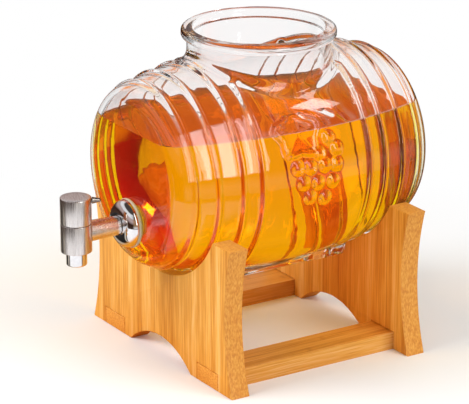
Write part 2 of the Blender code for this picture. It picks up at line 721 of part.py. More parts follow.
def lever_pin(heights):
    """A short tapered lever whose stem passes through the cap and locks on the spindle's flat."""
    stem_end = SPINDLE_RADIUS - SPINDLE_FLAT + SEAT_GAP
    shoulder = TAP_RADIUS + SEAT_GAP
    tip = TAP_RADIUS + LEVER_LENGTH
    outline = [
        (stem_end, LEVER_STEM_RADIUS),
        (shoulder, LEVER_STEM_RADIUS),
        (shoulder, LEVER_ROOT_RADIUS),
    ]
    outline += quarter(tip - LEVER_TIP_RADIUS, 0.0, LEVER_TIP_RADIUS, 80, 15, 4)
    made = turned("lever_pin", outline, X_AXIS, Vector((0, 0, 0)), SMALL_STEPS, POLISHED_CHROME)
    place = Matrix.Translation(axis_foot + Z_AXIS * heights["lever"])
    made.matrix_world = place @ Matrix.Rotation(LEVER_REST_ANGLE, 4, "Z")
    return made


def clamping_pieces(places, centre):
    """Rosette, gaskets, washer and nut, which pinch the barrel's end wall between them."""

    def washer(name, radius, start, thickness, steps, finish):
        end = start + thickness
        return ring(name, THREAD_RADIUS + SEAT_GAP, radius, start, end, X_AXIS, centre, steps, finish)

    outside, inside, backing = places["gasket"], places["inner_gasket"], places["backing"]
    return [
        rosette(places, centre),
        washer("outer_gasket", GASKET_RADIUS, outside, GASKET_THICKNESS, TAP_STEPS, SILICONE),
        washer("inner_gasket", INNER_GASKET_RADIUS, inside, GASKET_THICKNESS, SMALL_STEPS, SILICONE),
        washer("backing_washer", BACKING_RADIUS, backing, BACKING_THICKNESS, SMALL_STEPS, BRUSHED_STEEL),
        lock_nut(places, centre),
    ]


def cradle():
    pieces = [
        panel("front_panel", cradle_x - CRADLE_LENGTH / 2, 1),
        panel("rear_panel", cradle_x + CRADLE_LENGTH / 2, -1),
        bar("near_bar", -1),
        bar("far_bar", 1),
    ]
    child_of(marker("cradle", Vector((cradle_x, 0, 0))), *pieces)


def ring_on_spindle(name, outer, start, thickness, finish):
    """A ring round the spindle inside the tap."""
    inner = SPINDLE_RADIUS + SEAT_GAP
    return ring(name, inner, outer, start, start + thickness, Z_AXIS, axis_foot, SMALL_STEPS, finish)


def vessel():
    """The barrel and everything that is fixed to it."""
    centre = Vector((tap_x, 0, tap_z))
    places = shank_places()
    heights = valve_heights()
    pieces = [glass_barrel(), tap_body(), tap_shank(places, centre)]
    pieces += clamping_pieces(places, centre)
    pieces += [outlet_nozzle(), nozzle_seal(), seat_sleeve(heights)]
    outer = CHAMBER_RADIUS - SEAT_GAP
    pieces.append(ring_on_spindle("bonnet_ring", outer, heights["bonnet"], BONNET_HEIGHT, BRUSHED_STEEL))
    child_of(marker("vessel", Vector((vessel_x, 0, vessel_z))), *pieces)


def tap_handle():
    """What turns with the cap, about the tap's vertical axis."""
    heights = valve_heights()
    outer = CHAMBER_RADIUS - SEAT_GAP
    pieces = [
        turning_cap(heights),
        lever_pin(heights),
        valve_plug(heights),
        ring_on_spindle("spindle_seal", outer - SLEEVE_WALL, heights["seal"], SEAL_THICKNESS, BLACK_RUBBER),
        ring_on_spindle("thrust_washer", outer, heights["washer"], WASHER_THICKNESS, WHITE_PLASTIC),
    ]
    child_of(marker("tap_handle", axis_foot), *pieces)


cradle()
vessel()
tap_handle()
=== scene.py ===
# %% [markdown]
# # A glass barrel drink dispenser in a bamboo cradle
#
# The solids of the dispenser come ready made: boards, barrel and tap stand in their places, in
# metres. This lesson dresses them. Each visible piece is worked out again as a fine surface with
# numpy, gets the finish of the real thing, and rides on the body that carries it.

# %% Load the solids
import math

import bmesh
import bpy
import numpy as np
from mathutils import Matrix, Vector


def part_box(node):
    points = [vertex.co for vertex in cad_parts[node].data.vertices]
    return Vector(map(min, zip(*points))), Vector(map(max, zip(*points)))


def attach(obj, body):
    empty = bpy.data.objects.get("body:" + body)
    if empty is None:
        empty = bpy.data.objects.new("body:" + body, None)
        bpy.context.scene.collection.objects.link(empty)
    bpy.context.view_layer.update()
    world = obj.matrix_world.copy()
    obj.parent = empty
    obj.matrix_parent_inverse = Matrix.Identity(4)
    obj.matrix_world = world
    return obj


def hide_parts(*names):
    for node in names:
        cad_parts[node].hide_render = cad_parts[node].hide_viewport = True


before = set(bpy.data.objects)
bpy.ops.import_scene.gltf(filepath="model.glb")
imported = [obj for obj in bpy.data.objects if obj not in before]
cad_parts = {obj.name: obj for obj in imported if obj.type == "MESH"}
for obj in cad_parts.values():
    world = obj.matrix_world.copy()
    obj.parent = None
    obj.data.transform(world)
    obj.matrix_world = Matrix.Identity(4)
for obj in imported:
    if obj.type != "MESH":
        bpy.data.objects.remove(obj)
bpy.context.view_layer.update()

scene = bpy.context.scene
MM = 0.001

# %% [markdown]
# ## The camera
#
# A product photograph like this one is taken from well back with a long lens, so the boards hardly
# converge. The direction was found from the cradle's straight edges: a third of a right angle
# round towards the tap, and about 19 degrees above the table.

# %% Camera
VIEW_TURN = math.radians(32.36)
VIEW_RISE = math.radians(18.97)
CAMERA_PLACE = Vector((-0.9585, -1.5236, 0.7239))

towards_camera = Vector(
    (
        -math.sin(VIEW_TURN) * math.cos(VIEW_RISE),
        -math.cos(VIEW_TURN) * math.cos(VIEW_RISE),
        math.sin(VIEW_RISE),
    )
)
camera_data = bpy.data.cameras.new("camera")
camera_data.lens = 207.0
camera_data.sensor_width = 36.0
camera = bpy.data.objects.new("camera", camera_data)
camera.location = CAMERA_PLACE
camera.rotation_euler = towards_camera.to_track_quat("Z", "Y").to_euler()
scene.collection.objects.link(camera)
scene.camera = camera
print("camera distance in m:", round(CAMERA_PLACE.length, 2))

# %% [markdown]
# ## From a grid of points to a mesh
#
# Nearly every piece here is a grid: rows of points with the same number in each row. Neighbouring
# points make four-sided faces. A grid can close on itself in either direction, and an open end
# can be capped. One function writes the arrays straight into the mesh, which is much quicker than
# adding points one by one.

# %% Mesh helpers
def grid_quads(rows, columns, wrap_rows=False, wrap_columns=True):
    """Corner numbers of the faces between neighbours: (r, c), (r, c+1), (r+1, c+1), (r+1, c)."""
    numbers = np.arange(rows * columns).reshape(rows, columns)
    if wrap_rows:
        numbers = np.vstack([numbers, numbers[:1]])
    if wrap_columns:
        numbers = np.hstack([numbers, numbers[:, :1]])
    here, right = numbers[:-1, :-1], numbers[:-1, 1:]
    below, across = numbers[1:, :-1], numbers[1:, 1:]
    return np.stack([here, right, across, below], axis=-1).reshape(-1, 4)


def fan(ring, hub):
    """Triangles from each side of a closed ring of corner numbers to one hub."""
    return np.stack([ring, np.roll(ring, -1), np.full(len(ring), hub)], axis=-1)


def make_mesh(name, points, face_arrays, crisp_degrees=None, outward=True):
    """A mesh from points in millimetres and arrays of corner numbers, one row for each face."""
    used, packed = np.unique(np.concatenate([f.ravel() for f in face_arrays]), return_inverse=True)
    sizes = np.concatenate([np.full(len(f), f.shape[1]) for f in face_arrays])
    mesh = bpy.data.meshes.new(name)
    mesh.vertices.add(len(used))
    mesh.vertices.foreach_set("co", (np.asarray(points).reshape(-1, 3)[used] * MM).ravel())
    mesh.loops.add(len(packed))
    mesh.loops.foreach_set("vertex_index", packed.ravel())
    mesh.polygons.add(len(sizes))
    mesh.polygons.foreach_set("loop_start", np.cumsum(sizes) - sizes)
    mesh.update(calc_edges=True)
    mesh.validate()
    if outward:
        shape = bmesh.new()
        shape.from_mesh(mesh)
        bmesh.ops.recalc_face_normals(shape, faces=shape.faces[:])
        shape.to_mesh(mesh)
        shape.free()
    mesh.shade_smooth()
    if crisp_degrees is not None:
        mesh.set_sharp_from_angle(angle=math.radians(crisp_degrees))
    return mesh


def place_piece(mesh, body, finish, replaced=None):
    """Puts a mesh in the scene with its material, the body it rides on and the solid it stands for."""
    mesh.materials.append(finish)
    piece = bpy.data.objects.new(mesh.name, mesh)
    scene.collection.objects.link(piece)
    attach(piece, body)
    if replaced:
        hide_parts(replaced)


print("mesh helpers ready")

# %% [markdown]
# ## Materials from nodes
#
# Colours are written the way a paint program shows them, as hex codes, and one function turns them
# into the linear numbers that the renderer works with. One more small function adds a node of any
# kind with its settings and its links, so that each material below reads as a short list of steps.
# Numbers and colours that are the same all over a surface go straight into the shader's sockets.

# %% Material helpers
WHITE = "#FFFFFF"


def linear(code):
    """A hex colour as linear light: c / 12.92 when dark, else ((c + 0.055) / 1.055) ^ 2.4."""
    parts = np.array([int(code[i : i + 2], 16) / 255 for i in (1, 3, 5)])
    bright = ((parts + 0.055) / 1.055) ** 2.4
    return (*np.where(parts <= 0.04045, parts / 12.92, bright).tolist(), 1.0)


def add_node(tree, kind, inputs=(), stops=(), **settings):
    """Adds one node with its settings and links.

    The inputs are a list in the order of the sockets in use, or a dictionary by their names. Each
    is a node or a socket to link, a hex colour or a plain value. Stops belong to a colour ramp.
    """
    node = tree.nodes.new("ShaderNode" + kind)
    for key, value in settings.items():
        setattr(node, key, value)
    in_use = [socket for socket in node.inputs if socket.enabled]
    named = isinstance(inputs, dict)
    for key, value in inputs.items() if named else zip(in_use, inputs):
        socket = node.inputs[key] if named else key
        if isinstance(value, bpy.types.Node):
            value = next(output for output in value.outputs if output.enabled)
        if isinstance(value, bpy.types.NodeSocket):
            tree.links.new(value, socket)
        else:
            socket.default_value = linear(value) if isinstance(value, str) else value
    for position, _ in stops[2:]:
        node.color_ramp.elements.new(position)
    for number, (position, code) in enumerate(stops):
        node.color_ramp.elements[number].position = position
        node.color_ramp.elements[number].color = linear(code)
    return node


def start_material(name):
    """An empty material and its node tree."""
    finish = bpy.data.materials.new(name)
    finish.use_nodes = True
    finish.node_tree.nodes.clear()
    return finish, finish.node_tree


print("white as linear light:", linear(WHITE))

# %% [markdown]
# ## Clear pressed glass
#
# Soda-lime glass for tableware is clear with an index of about 1.5. It's pressed and blown in an
# iron mould, so its surface isn't optically flat: long shallow ripples bend what is seen through
# it. A dark line wherever the glass turns away from the eye is what makes clear glass visible, and
# that comes from the surroundings, not from the material.
#
# The mirror image of the room is turned far down, as a polarising filter on the lens does it, so
# that the drink keeps its depth of colour.
#
# Light that the lamps send through glass is slow to find by chance. A Light Path node lets lamp
# rays pass nearly straight through, so the pieces behind the glass are lit without noise. The drink
# further down is made in the same way.

# %% Glass
GLASS_INDEX = 1.5
GLASS_MIRROR = 0.02  # 0.5 would be the full mirror image
RIPPLE_LENGTH = 14.0 * MM
RIPPLE_DEPTH = 0.4 * MM
CLEAR = {"Base Color": WHITE, "Roughness": 0.0, "Transmission Weight": 1.0}


def let_lamps_through(tree, shader, tint):
    """The shader itself for every ray but a lamp's, which passes and takes the tint."""
    path = add_node(tree, "LightPath")
    passing = add_node(tree, "BsdfTransparent", [tint])
    return add_node(tree, "MixShader", [path.outputs["Is Shadow Ray"], shader, passing])


def pressed_glass():
    """Clear glass, its surface bent by noise with one wave to each ripple."""
    finish, tree = start_material("pressed_soda_lime_glass")
    place = add_node(tree, "TexCoord").outputs["Object"]
    place = add_node(tree, "Mapping", {"Vector": place, "Scale": (1 / RIPPLE_LENGTH,) * 3})
    ripples = add_node(tree, "TexNoise", {"Vector": place, "Scale": 1.0, "Detail": 1.0})
    bump = add_node(tree, "Bump", {"Height": ripples, "Strength": 0.25, "Distance": RIPPLE_DEPTH})
    own = {"IOR": GLASS_INDEX, "Specular IOR Level": GLASS_MIRROR, "Normal": bump}
    shader = add_node(tree, "BsdfPrincipled", CLEAR | own)
    add_node(tree, "OutputMaterial", [let_lamps_through(tree, shader, "#F2F4F4")])
    return finish


glass = pressed_glass()
print("made", glass.name)

# %% [markdown]
# ## The barrel's profile
#
# The vessel copies a cooper's barrel: a shallow bulge, eight raised hoops and rounded end corners.
# All of it is one curve turned about a level axis. The bulge is a circular arc found from its two
# ends and its middle. Each hoop adds a raised cosine, so it grows out of the wall without a crease,
# as glass that flowed into a groove of the mould does.

# %% Barrel profile
BELLY_RADIUS = 78.0
SHOULDER_DROP = 13.0
END_CORNER = 13.0
WALL = 4.5
END_WALL = 5.0
FOOT_DEPTH = 1.2
HOOP_PLACES = (44.0, 58.0, 75.5, 92.0)
HOOP_SPREAD = 6.0
HOOP_HEIGHT = 2.0

barrel_low, barrel_high = [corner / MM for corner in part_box("glass_barrel")]
middle_x = (barrel_low.x + barrel_high.x) / 2
half_length = (barrel_high.x - barrel_low.x) / 2
axis_z = barrel_low.z + FOOT_DEPTH + BELLY_RADIUS
shoulder = half_length - END_CORNER
bulge_arc = (shoulder**2 + SHOULDER_DROP**2) / (2 * SHOULDER_DROP)
flat_radius = BELLY_RADIUS - SHOULDER_DROP - END_CORNER


def bulge(reach):
    """Radius of the plain wall: belly - R + sqrt(R^2 - reach^2), a circular arc of radius R."""
    reach = np.clip(np.abs(reach), 0.0, shoulder)
    return BELLY_RADIUS - bulge_arc + np.sqrt(bulge_arc**2 - reach**2)


def hoops(reach):
    """Sum of raised cosines, height (1 + cos(2 pi d / spread)) / 2 within half a spread of each hoop."""
    total = np.zeros_like(np.asarray(reach, float))
    for place in HOOP_PLACES:
        distance = np.abs(np.abs(reach) - place)
        wave = HOOP_HEIGHT * (1 + np.cos(2 * np.pi * distance / HOOP_SPREAD)) / 2
        total += np.where(distance < HOOP_SPREAD / 2, wave, 0.0)
    return total


print("barrel middle and axis in mm:", round(middle_x, 2), round(axis_z, 2))

# %% [markdown]
# ## A bunch of grapes in the mould
#
# Barrels like this carry a raised bunch of grapes on the side, with a leaf and a stalk: a common
# ornament on drinkware. It is cut into the mould, so it stands out of the wall by a millimetre or
# two with soft edges. Here it is a height added to the radius, as a function of the place along the
# barrel and the distance round it.

# %% Grape relief
BERRY_RADIUS = 5.4
BERRY_HEIGHT = 1.9
BERRIES = (
    (10.2, 30.0), (15.6, 21.8), (0.6, 20.4), (-17.3, 12.6), (-7.4, 12.0), (4.4, 11.6),
    (14.2, 10.8), (-13.4, 1.4), (-1.8, 0.0), (11.0, -0.6), (-8.0, -9.8), (4.6, -12.2),
)
LEAF_CENTRE = (-13.5, 36.0)
LEAF_REACH = 20.0
LEAF_HEIGHT = 1.5
LEAF_LOBES = 5
LEAF_NOTCH = 0.11  # how far the reach swings between a lobe and a notch
LEAF_EDGE = 0.13  # this and the next two are shares of the reach, inwards from the outline
DISH_START = 0.14
DISH_WIDTH = 0.16
DISH_DEPTH = 0.45  # how much lower the middle lies than the raised edge
VEIN_START = 3.0
VEIN_WIDTH = 1.4
VEIN_DEPTH = 0.35
STALK = ((5.5, 53.0), (18.0, 45.5))
STALK_RADIUS = 2.3
STALK_HEIGHT = 1.6


def smooth_step(share):
    """0 before 0, 1 after 1, and a curve with level ends between: 3 s^2 - 2 s^3."""
    share = np.clip(share, 0.0, 1.0)
    return share * share * (3.0 - 2.0 * share)


def relief(along, around):
    """Height of the ornament: berries, leaf and stalk, whichever stands highest.

    A berry is a dome h (1 - d^2 / r^2), and so is the stalk, where d is the distance from its line.
    The leaf is a plate out to R (1 - n + n cos 5a), sunk a little behind its raised edge.
    """
    height = np.zeros(np.broadcast(along, around).shape)
    for x, y in BERRIES:
        share = ((along - x) ** 2 + (around - y) ** 2) / BERRY_RADIUS**2
        height = np.maximum(height, BERRY_HEIGHT * (1 - share))
    dx, dy = along - LEAF_CENTRE[0], around - LEAF_CENTRE[1]
    distance = np.hypot(dx, dy)
    angle = np.arctan2(dy, dx) - np.pi / 2
    reach = LEAF_REACH * (1 - LEAF_NOTCH + LEAF_NOTCH * np.cos(LEAF_LOBES * angle))
    inside = 1 - distance / reach
    veins = np.exp(-((np.sin(LEAF_LOBES / 2 * angle) * distance / VEIN_WIDTH) ** 2))
    dish = 1 - DISH_DEPTH * smooth_step((inside - DISH_START) / DISH_WIDTH)
    plate = LEAF_HEIGHT * smooth_step(inside / LEAF_EDGE) * dish
    leaf = plate * (1 - VEIN_DEPTH * veins * smooth_step(distance / VEIN_START))
    height = np.maximum(height, leaf)
    start, end = np.array(STALK)
    way = end - start
    share = np.clip(((along - start[0]) * way[0] + (around - start[1]) * way[1]) / way.dot(way), 0, 1)
    aside = np.hypot(along - start[0] - share * way[0], around - start[1] - share * way[1])
    return np.maximum(height, STALK_HEIGHT * (1 - (aside / STALK_RADIUS) ** 2))


print("berries:", len(BERRIES))

# %% [markdown]
# ## The barrel's wall, inside and out
#
# The wall is one long grid. Its rows go round the barrel. Its columns start at the middle of the
# rear end, run along the outside to the front, turn in through the hole for the tap and come back
# along the inside. Rows and columns lie closer together over the hoops and the grapes, where the
# surface bends most. On the front end the rings slide down from the rim of the disc to the tap hole.

# %% Rows and columns of the wall
GAP_HALF_LENGTH = 66.0
GAP_HALF_ANGLE = 53.0
GAP_ROWS = 36
TURN_STOPS = (
    (-GAP_HALF_ANGLE, 0), (GAP_HALF_ANGLE, GAP_ROWS), (150.0, 30), (168.0, 14), (192.0, 6),
    (210.0, 14), (255.0, 16), (360.0 - GAP_HALF_ANGLE, 70),
)
GAP_STOPS = (
    (GAP_HALF_LENGTH, 0), (61.0, 3), (55.0, 7), (47.0, 4), (41.0, 7), (22.0, 8), (-33.0, 55),
    (-41.0, 4), (-47.0, 7), (-55.0, 4), (-61.0, 7), (-GAP_HALF_LENGTH, 3),
)
END_STOPS = ((GAP_HALF_LENGTH, 0), (72.0, 4), (79.0, 8), (89.0, 5), (shoulder, 3))


def graded(stops):
    """Places from stop to stop, each stretch cut into its own number of equal steps."""
    parts = [
        np.linspace(start, end, steps, endpoint=False)
        for (start, _), (end, steps) in zip(stops[:-1], stops[1:])
    ]
    return np.concatenate([*parts, [stops[-1][0]]])


angles = np.radians(graded(TURN_STOPS)[:-1])
gap_reaches = graded(GAP_STOPS)
end_reaches = graded(END_STOPS)[1:]
print("rows round the barrel:", len(angles), "columns across the gap:", len(gap_reaches))

# %% [markdown]
# Each column of the grid is a circle, so it needs only its place along the barrel and its radius.
# On the front end its centre also slides down, from the barrel's axis to the lower axis of the tap.

# %% Wall grid
TAP_HOLE_RADIUS = 7.0

tap_low, tap_high = [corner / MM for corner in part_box("lock_nut")]
tap_drop = axis_z - (tap_low.z + tap_high.z) / 2


def corner_curve(start, flat, size, steps):
    """Quarter circle from the wall to the flat end, as reaches and radii."""
    turn = np.radians(np.linspace(90, 0, steps + 1)[1:])
    return start + size * np.cos(turn), flat + size * np.sin(turn)


def round_grid(reaches, radii, drop=0.0):
    """Points (x + reach, r sin a, z + r cos a - drop), one column for each reach and radius."""
    reaches, radii, drop = [np.asarray(a, float)[..., None] for a in (reaches, radii, drop)]
    x = middle_x + reaches + 0 * angles
    return np.stack(
        np.broadcast_arrays(x, radii * np.sin(angles), axis_z + radii * np.cos(angles) - drop), axis=-1
    )


def flat_end(reach, radius, share):
    """Rings of a front end, from its rim to the tap hole: centre and radius slide by the share."""
    hole_radius = radius + (TAP_HOLE_RADIUS - radius) * share
    return round_grid(np.full(len(share), reach), hole_radius, tap_drop * share)


turn_reach, turn_radius = corner_curve(shoulder, flat_radius, END_CORNER, 16)
turn_radius = turn_radius + hoops(turn_reach)
disc_radii = flat_radius * np.array([0.02, 0.2, 0.4, 0.6, 0.8, 0.93])
ring_shares = np.array([0.07, 0.2, 0.4, 0.6, 0.8, 1.0])

inner_end = half_length - END_WALL
inner_corner = END_CORNER - WALL
inner_start = inner_end - inner_corner
inner_flat = float(bulge(inner_start)) - WALL - inner_corner
inner_turn_reach, inner_turn_radius = corner_curve(inner_start, inner_flat, inner_corner, 9)
inner_end_reaches = np.linspace(GAP_HALF_LENGTH, inner_start, 9)[1:]


def plain_inside(reach):
    """Inner radius: the bulge less the wall's thickness, without the hoops."""
    return bulge(reach) - WALL


outer_reach = np.concatenate([end_reaches[::-1], gap_reaches, -end_reaches])
outer_radius = bulge(outer_reach) + hoops(outer_reach)
first_gap_column = len(disc_radii) + len(turn_reach) + len(end_reaches)
inner_reach = np.concatenate([-inner_end_reaches[::-1], gap_reaches[::-1], inner_end_reaches])

sheet = np.concatenate(
    [
        round_grid(np.full(len(disc_radii), half_length), disc_radii),
        round_grid(turn_reach[::-1], turn_radius[::-1]),
        round_grid(outer_reach, outer_radius),
        round_grid(-turn_reach, turn_radius),
        flat_end(-half_length, flat_radius, ring_shares),
        flat_end(-inner_end, inner_flat, ring_shares[::-1]),
        round_grid(-inner_turn_reach[::-1], inner_turn_radius[::-1]),
        round_grid(inner_reach, plain_inside(inner_reach)),
        round_grid(inner_turn_reach, inner_turn_radius),
        round_grid(np.full(len(disc_radii), inner_end), disc_radii[::-1] * inner_flat / flat_radius),
    ]
)
outside_columns = first_gap_column + len(gap_reaches) + len(end_reaches) + len(turn_reach)
inner_first = outside_columns + 2 * len(ring_shares) + len(inner_turn_reach) + len(inner_end_reaches)
print("wall grid:", sheet.shape)

# %% [markdown]
# The ornament and the flat moulded foot are pushed into the outer half of that grid. The foot is
# what the barrel stands on when it's out of its cradle: a rounded rectangle pressed flat under the
# belly. Long ripples in the inner wall, a tenth of a millimetre deep at the sides and up to half a
# millimetre near the floor, bend what is seen through it, as blown glass does.

# %% Ornament, foot and ripples
ORNAMENT_HALF_LENGTH = 40.0
ORNAMENT_TOP = 54.0
FOOT_HALF_LENGTH = 62.0
FOOT_HALF_WIDTH = 28.0
FOOT_CORNER = 9.0
FOOT_SOFTNESS = 2.5
SIDE_RIPPLE = 0.12
FLOOR_RIPPLE = 0.4
RIPPLE_END = 80.0


def push_out(part, distance):
    """Moves each point straight away from the barrel's axis: (y, z) grows by distance / radius."""
    share = distance / np.maximum(np.hypot(part[..., 1], part[..., 2] - axis_z), 1.0)
    part[..., 1] *= 1 + share
    part[..., 2] += (part[..., 2] - axis_z) * share


outside, inside = sheet[:outside_columns], sheet[outside_columns:]
along = outside[..., 0] - middle_x
turned_by = np.degrees(np.arctan2(outside[..., 1], outside[..., 2] - axis_z)) % 360
around = np.radians(turned_by - 270) * BELLY_RADIUS
raised = np.maximum(relief(along, around), 0.0) * (np.abs(along) < ORNAMENT_HALF_LENGTH)
raised *= smooth_step((ORNAMENT_TOP - np.abs(around)) / 2.0)
push_out(outside, raised)

over_length = np.abs(along) - FOOT_HALF_LENGTH + FOOT_CORNER
over_width = np.abs(outside[..., 1]) - FOOT_HALF_WIDTH + FOOT_CORNER
beyond = np.hypot(np.maximum(over_length, 0), np.maximum(over_width, 0)) - FOOT_CORNER
pressed = smooth_step(-beyond / FOOT_SOFTNESS) * (outside[..., 2] < axis_z)
outside[..., 2] += pressed * (axis_z - BELLY_RADIUS - FOOT_DEPTH - outside[..., 2])

inside_along = inside[..., 0] - middle_x
# Two waves, 57 and 195 mm long, lean over as they go round. They end before the corners.
swell = SIDE_RIPPLE + FLOOR_RIPPLE * smooth_step((-np.cos(angles) - 0.6) / 0.35)
swell = swell * np.sin(inside_along / 9.0 + 1.3 * np.sin(3 * angles))
swell = swell * np.sin(5 * angles + inside_along / 31.0)
push_out(inside, swell * smooth_step((RIPPLE_END - np.abs(inside_along)) / 15.0))
print("tallest relief in mm:", round(float(raised.max()), 2))

# %% [markdown]
# ## The neck that grows out of the bulge
#
# This is the hard part of the vessel. A round neck meets a barrel that curves two ways, so the
# meeting line rises and falls round the neck. The top of the wall grid is left open as a
# rectangle, and spokes run from its edge in to the neck, up the blend, over the rounded rim, down
# inside, and out again to the same rectangle on the inner side. Each spoke has its own heights,
# which is what lets one smooth surface join a round neck to a square gap.

# %% Edges of the gap
columns, rows = sheet.shape[:2]


def gap_loop(column_numbers):
    """Corner numbers round the open rectangle, in the order along, across, back, across."""
    numbers = column_numbers[:, None] * rows + np.arange(GAP_ROWS + 1)
    return np.concatenate(
        [numbers[:-1, 0], numbers[-1, :-1], numbers[:0:-1, -1], numbers[0, :0:-1]]
    )


gap_count = len(gap_reaches)
outer_columns = first_gap_column + np.arange(gap_count)
inner_columns = inner_first + np.arange(gap_count)[::-1]
outer_loop, inner_loop = gap_loop(outer_columns), gap_loop(inner_columns)
flat_points = sheet.reshape(-1, 3)
outer_edge = flat_points[outer_loop] - (middle_x, 0, axis_z)
inner_edge = flat_points[inner_loop] - (middle_x, 0, axis_z)
bearing = np.arctan2(outer_edge[:, 1], outer_edge[:, 0])
away = np.stack([np.cos(bearing), np.sin(bearing)], axis=-1)
print("spokes:", len(bearing))

# %% [markdown]
# Four kinds of curve make up a spoke. A patch follows the barrel's own surface, a bend turns from
# the wall into the neck, a straight piece climbs the collar, and rings follow the turned bead of
# the rim. All of them are worked out for every spoke at once.

# %% Curves of a spoke
def wall_height(plan, inward=0.0, hooped=True):
    """Height of the wall above the axis at a plan place: sqrt(radius^2 - across^2)."""
    radius = bulge(plan[..., 0]) - inward + (hoops(plan[..., 0]) if hooped else 0.0)
    return np.sqrt(np.maximum(radius**2 - plan[..., 1] ** 2, 0.0))


def spoke(plan, height):
    """Points (x, y, z) from plan places (x, y) and heights."""
    return np.concatenate([plan, height[..., None]], axis=-1)


def patch(edge, radius, shares, inward=0.0, hooped=True):
    """Spoke points on the barrel's own surface: the plan place slides from the edge to the circle."""
    shares = np.asarray(shares)[:, None, None]
    plan = edge[None, :, :2] * (1 - shares) + away[None] * radius * shares
    return spoke(plan, wall_height(plan, inward, hooped))


def bend(outer_radius, wall_radius, lift, inward, shares, hooped):
    """From the wall up the neck: s (1-t)^2 + 2 a t (1-t) + e t^2, aimed at the line where they meet."""
    share = np.asarray(shares)[:, None]
    start = wall_height(away * outer_radius, inward, hooped)
    aim = wall_height(away * wall_radius, inward, False)
    height = start * (1 - share) ** 2 + 2 * aim * share * (1 - share) + (aim + lift) * share**2
    distance = outer_radius * (1 - share) ** 2 + wall_radius * (1 - (1 - share) ** 2)
    return spoke(away[None] * distance[..., None], height)


def straight(radius, low, high, steps):
    """Level rings at one radius, evenly spaced from the low heights to the high ones."""
    share = np.linspace(0, 1, steps + 1)[1:-1, None]
    height = low * (1 - share) + high * share
    return spoke(np.broadcast_to(away[None] * radius, (*height.shape, 2)), height)


def rings(profile):
    """One level ring for each (height, radius) pair, the same all round."""
    height = np.repeat(profile[:, :1], len(away), axis=1)
    return spoke(away[None] * profile[:, 1:, None], height)


print("curves ready")

# %% [markdown]
# The rows of the neck's grid now follow each other from the outer edge of the gap to the inner one.
# The rim is a bead with a round above and below, and the mouth's edge is rounded too, as fire
# polishing leaves it.

# %% Neck grid
NECK_RADIUS = 50.5
MOUTH_RADIUS = 46.0
NECK_FILLET = 7.0
INNER_FILLET = 5.0
RIM_RADIUS = 54.5
RIM_HEIGHT = 7.5
RIM_ROUND = 3.0
MOUTH_EDGE = 1.6


def arc(along, radius, size, start_degrees, end_degrees, steps):
    """Points (along, radius) + size (cos a, sin a), for angles in equal steps."""
    angles = np.radians(np.linspace(start_degrees, end_degrees, steps + 1))
    return np.stack([along + size * np.cos(angles), radius + size * np.sin(angles)], axis=-1)


neck_rise = barrel_high.z - axis_z
bead_foot, bead_middle = neck_rise - RIM_HEIGHT, RIM_RADIUS - RIM_ROUND
bead = np.concatenate(
    [
        [(bead_foot, NECK_RADIUS)],
        arc(bead_foot + RIM_ROUND, bead_middle, RIM_ROUND, 180, 90, 7),
        arc(neck_rise - RIM_ROUND, bead_middle, RIM_ROUND, 90, 0, 7),
        arc(neck_rise - MOUTH_EDGE, MOUTH_RADIUS + MOUTH_EDGE, MOUTH_EDGE, 0, -90, 5),
    ]
)
up_outer = wall_height(away * NECK_RADIUS, 0.0, False) + NECK_FILLET
up_inner = wall_height(away * MOUTH_RADIUS, WALL, False) + INNER_FILLET
steps_out, steps_in = np.linspace(0, 1, 29)[1:], np.linspace(0, 1, 11)[1:]
neck_rows = np.concatenate(
    [
        patch(outer_edge, NECK_RADIUS + NECK_FILLET, steps_out),
        bend(NECK_RADIUS + NECK_FILLET, NECK_RADIUS, NECK_FILLET, 0.0, np.linspace(0, 1, 10)[1:], True),
        straight(NECK_RADIUS, up_outer, bead_foot, 3),
        rings(bead),
        straight(MOUTH_RADIUS, neck_rise - MOUTH_EDGE, up_inner, 6),
        bend(MOUTH_RADIUS + INNER_FILLET, MOUTH_RADIUS, INNER_FILLET, WALL, np.linspace(1, 0, 8), False),
        patch(inner_edge, MOUTH_RADIUS + INNER_FILLET, steps_in[::-1][1:], WALL, False),
    ]
)
print("neck grid:", neck_rows.shape)

# %% [markdown]
# The two grids become one closed skin. The wall's own faces in the gap are dropped, outside and
# inside. The neck's rows are laid between the two edges of the gap like the rungs of a ladder, with
# the wall's own corner numbers at both ends, so that nothing has to be merged. Two fans close the
# middle of the rear end.

# %% Join wall and neck
quads = grid_quads(columns, rows)
column_of, row_of = quads[:, 0] // rows, quads[:, 0] % rows
in_gap = np.zeros(len(quads), bool)
for start in (first_gap_column, inner_first):
    in_gap |= (column_of >= start) & (column_of < start + gap_count - 1) & (row_of < GAP_ROWS)

first_neck = columns * rows
neck_numbers = first_neck + np.arange(neck_rows[..., 0].size).reshape(neck_rows.shape[:2])
ladder = np.vstack([outer_loop, neck_numbers, inner_loop])
hub = first_neck + neck_numbers.size
hubs = [(barrel_high.x, 0, axis_z), (barrel_high.x - END_WALL, 0, axis_z)]
all_points = np.concatenate([flat_points, neck_rows.reshape(-1, 3) + (middle_x, 0, axis_z), hubs])
barrel_faces = [
    quads[~in_gap],
    ladder.ravel()[grid_quads(*ladder.shape)],
    np.concatenate([fan(np.arange(rows), hub), fan((columns - 1) * rows + np.arange(rows), hub + 1)]),
]
barrel_mesh = make_mesh("glass_barrel_wall", all_points, barrel_faces, crisp_degrees=60)
place_piece(barrel_mesh, "vessel", glass, "glass_barrel")
print("barrel faces:", len(barrel_mesh.polygons))

# %% [markdown]
# ## The drink
#
# The barrel is filled about three quarters with an amber drink. A liquid in glass is its own closed
# shape. It is drawn a third of a millimetre into the wall, which stands for the wet contact: light
# then bends once from glass to drink, as it should, and no air film shows between them. At the
# wall the surface climbs in a small curve, the meniscus.
#
# Its colour comes from a volume that absorbs blue at once, green slowly and red hardly at all. So
# it looks yellow where it is thin, orange through the middle and deep red along the longest ways.

